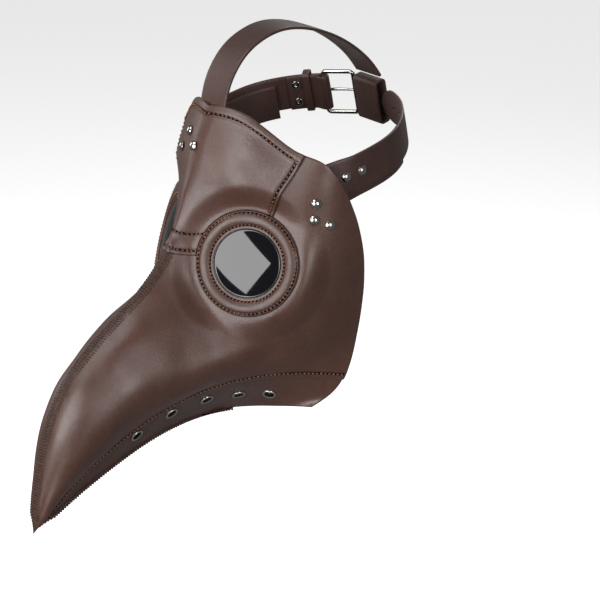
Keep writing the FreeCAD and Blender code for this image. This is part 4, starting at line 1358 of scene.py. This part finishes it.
def build_buckle():
    """Bent wire frame whose heel is the strap's bar, and the pin that turns on it."""
    angles = np.linspace(0.0, 2.0 * math.pi, 16, endpoint=False)
    section = FRAME_WIRE * np.stack([np.cos(angles), np.sin(angles)], 1)
    verts, faces = hoop(BAR + BAR_AHEAD * FRAME_REACH, BAR_AHEAD, RISE,
                        rounded_rect(FRAME_REACH, FRAME_HALF, 2.2), section)
    make_object("buckle_wire", *mirrored(verts, faces), [NICKEL], "buckle_frame",
                ["buckle_frame"], "nickel")
    wrap = [BAR + (BAR_OUT * math.cos(q) + BAR_AHEAD * math.sin(q)) * 2.65
            for q in np.radians(np.linspace(-255.0, -8.0, 22))]
    pin = [BAR + BAR_OUT * (2.72 + 1.1 * math.sin(math.pi * s ** 0.7) + 0.25 * s) + BAR_AHEAD * (23.4 * s)
           for s in np.linspace(0.05, 1.0, 20)]
    line = resample(np.array(wrap + pin), 0.5)
    radius = np.interp(np.linspace(0.0, 1.0, len(line)), [0.0, 0.6, 0.97, 1.0],
                       [PIN_WIRE, PIN_WIRE, 0.8, 0.35])
    verts, faces = wire(line, radius, 12)
    verts, faces = mirrored(verts, faces)
    make_object("buckle_pin", verts, outward_faces(verts, faces), [NICKEL], "buckle_prong",
                ["buckle_prong"], "nickel")


# ---------------------------------------------------------------- everything
for build in (build_cheek, build_gusset, build_brow, build_linings, build_ridge, build_keel, build_ring,
              build_lens, build_rivets, build_left_strap, build_right_strap, build_under_straps,
              build_strap_rivets, build_tabs, build_top_strap, build_loops, build_buckle):
    build()

SEWN = [stitches(LAP_SEAM, 1.7, 0.5, 0.05), stitches(ring_seam(OUTER_ROW, OUTER_COUNT, 3.80), 1.5, 0.6),
        stitches(ring_seam(INNER_ROW, INNER_COUNT, 3.72), 1.4, 0.52), stitches(BROW_SIDE, 1.7, 0.5, 0.02),
        stitches(HEM_LOW, 1.7, 0.46, 0.15), stitches(HEM_HIGH, 1.7, 0.46, 0.05)]
both_sides("panel_stitching", *join([sewn[:2] for sewn in SEWN]), [THREAD, HOLE_SHADE],
           marks=sum((sewn[2] for sewn in SEWN), []))
verts, faces, marks = stitches(BROW_TOP, 1.7, 0.48, 0.02)
make_object("brow_stitching", verts, faces, [THREAD, HOLE_SHADE], "mask", marks=marks)


# ---------------------------------------------------------------- stage, light and camera
def direction(azimuth, elevation):
    """From the object towards a viewer at angles in degrees."""
    a, e = math.radians(azimuth), math.radians(elevation)
    return Vector((math.sin(a) * math.cos(e), -math.cos(a) * math.cos(e), math.sin(e)))


def aim(obj, back, roll=0.0):
    """Puts a light or camera into the scene, looking against a direction."""
    obj.rotation_mode = "QUATERNION"
    obj.rotation_quaternion = ((-back).to_track_quat("-Z", "Y")
                               @ Quaternion((0.0, 0.0, 1.0), math.radians(roll)))
    bpy.context.scene.collection.objects.link(obj)


LIGHT_TARGET = Vector((0.03, -0.08, 0.0))


def area_light(name, azimuth, elevation, distance, size, power, roll=0.0):
    """Softbox that looks at the object."""
    data = bpy.data.lights.new(name, "AREA")
    data.shape = "RECTANGLE"
    data.size, data.size_y = size
    data.energy = power
    lamp = bpy.data.objects.new(name, data)
    back = direction(azimuth, elevation)
    lamp.location = LIGHT_TARGET + back * distance
    aim(lamp, back, roll)


FLOOR = -0.6
FLOOR_SIZE = 12.0


def build_stage():
    """Pale floor that doesn't light the object, even surroundings and five softboxes."""
    mesh = bpy.data.meshes.new("floor")
    corners = ((-1, -1), (1, -1), (1, 1), (-1, 1))
    mesh.from_pydata([(FLOOR_SIZE * x, FLOOR_SIZE * y, FLOOR) for x, y in corners], [], [(0, 1, 2, 3)])
    look = Look("pale_floor")
    look.set("Base Color", (0.9, 0.9, 0.9, 1.0))
    look.set("Roughness", 0.9)
    look.set("Emission Color", (1.0, 1.0, 1.0, 1.0))
    look.set("Emission Strength", 0.62)
    mesh.materials.append(look.material)
    floor = bpy.data.objects.new("floor", mesh)
    bpy.context.scene.collection.objects.link(floor)
    floor.visible_diffuse = False
    floor.visible_glossy = False
    world = bpy.data.worlds.new("studio")
    world.use_nodes = True
    world.node_tree.nodes["Background"].inputs["Color"].default_value = (1.0, 1.0, 1.0, 1.0)
    world.node_tree.nodes["Background"].inputs["Strength"].default_value = 0.15
    bpy.context.scene.world = world
    area_light("key", 13.5, 12.5, 1.25, (1.0, 0.84), 20.0, roll=-34.0)
    area_light("side", 78.0, 13.0, 1.5, (0.55, 0.9), 9.0)
    area_light("top", 340.0, 60.0, 1.5, (0.9, 0.6), 9.0)
    area_light("back", 200.0, 32.0, 1.6, (1.2, 0.9), 9.0)
    area_light("far", 290.0, 15.0, 1.6, (0.7, 0.9), 5.0)


def build_camera():
    """Long lens, from the mask's left and above."""
    data = bpy.data.cameras.new("camera")
    data.sensor_width = 36.0
    data.lens = 129.0
    camera = bpy.data.objects.new("camera", data)
    camera.location = (1.056, -0.8765, 0.508)
    aim(camera, direction(50.0, 22.5))
    bpy.context.scene.camera = camera


build_stage()
build_camera()
bpy.context.scene.view_settings.view_transform = "Standard"
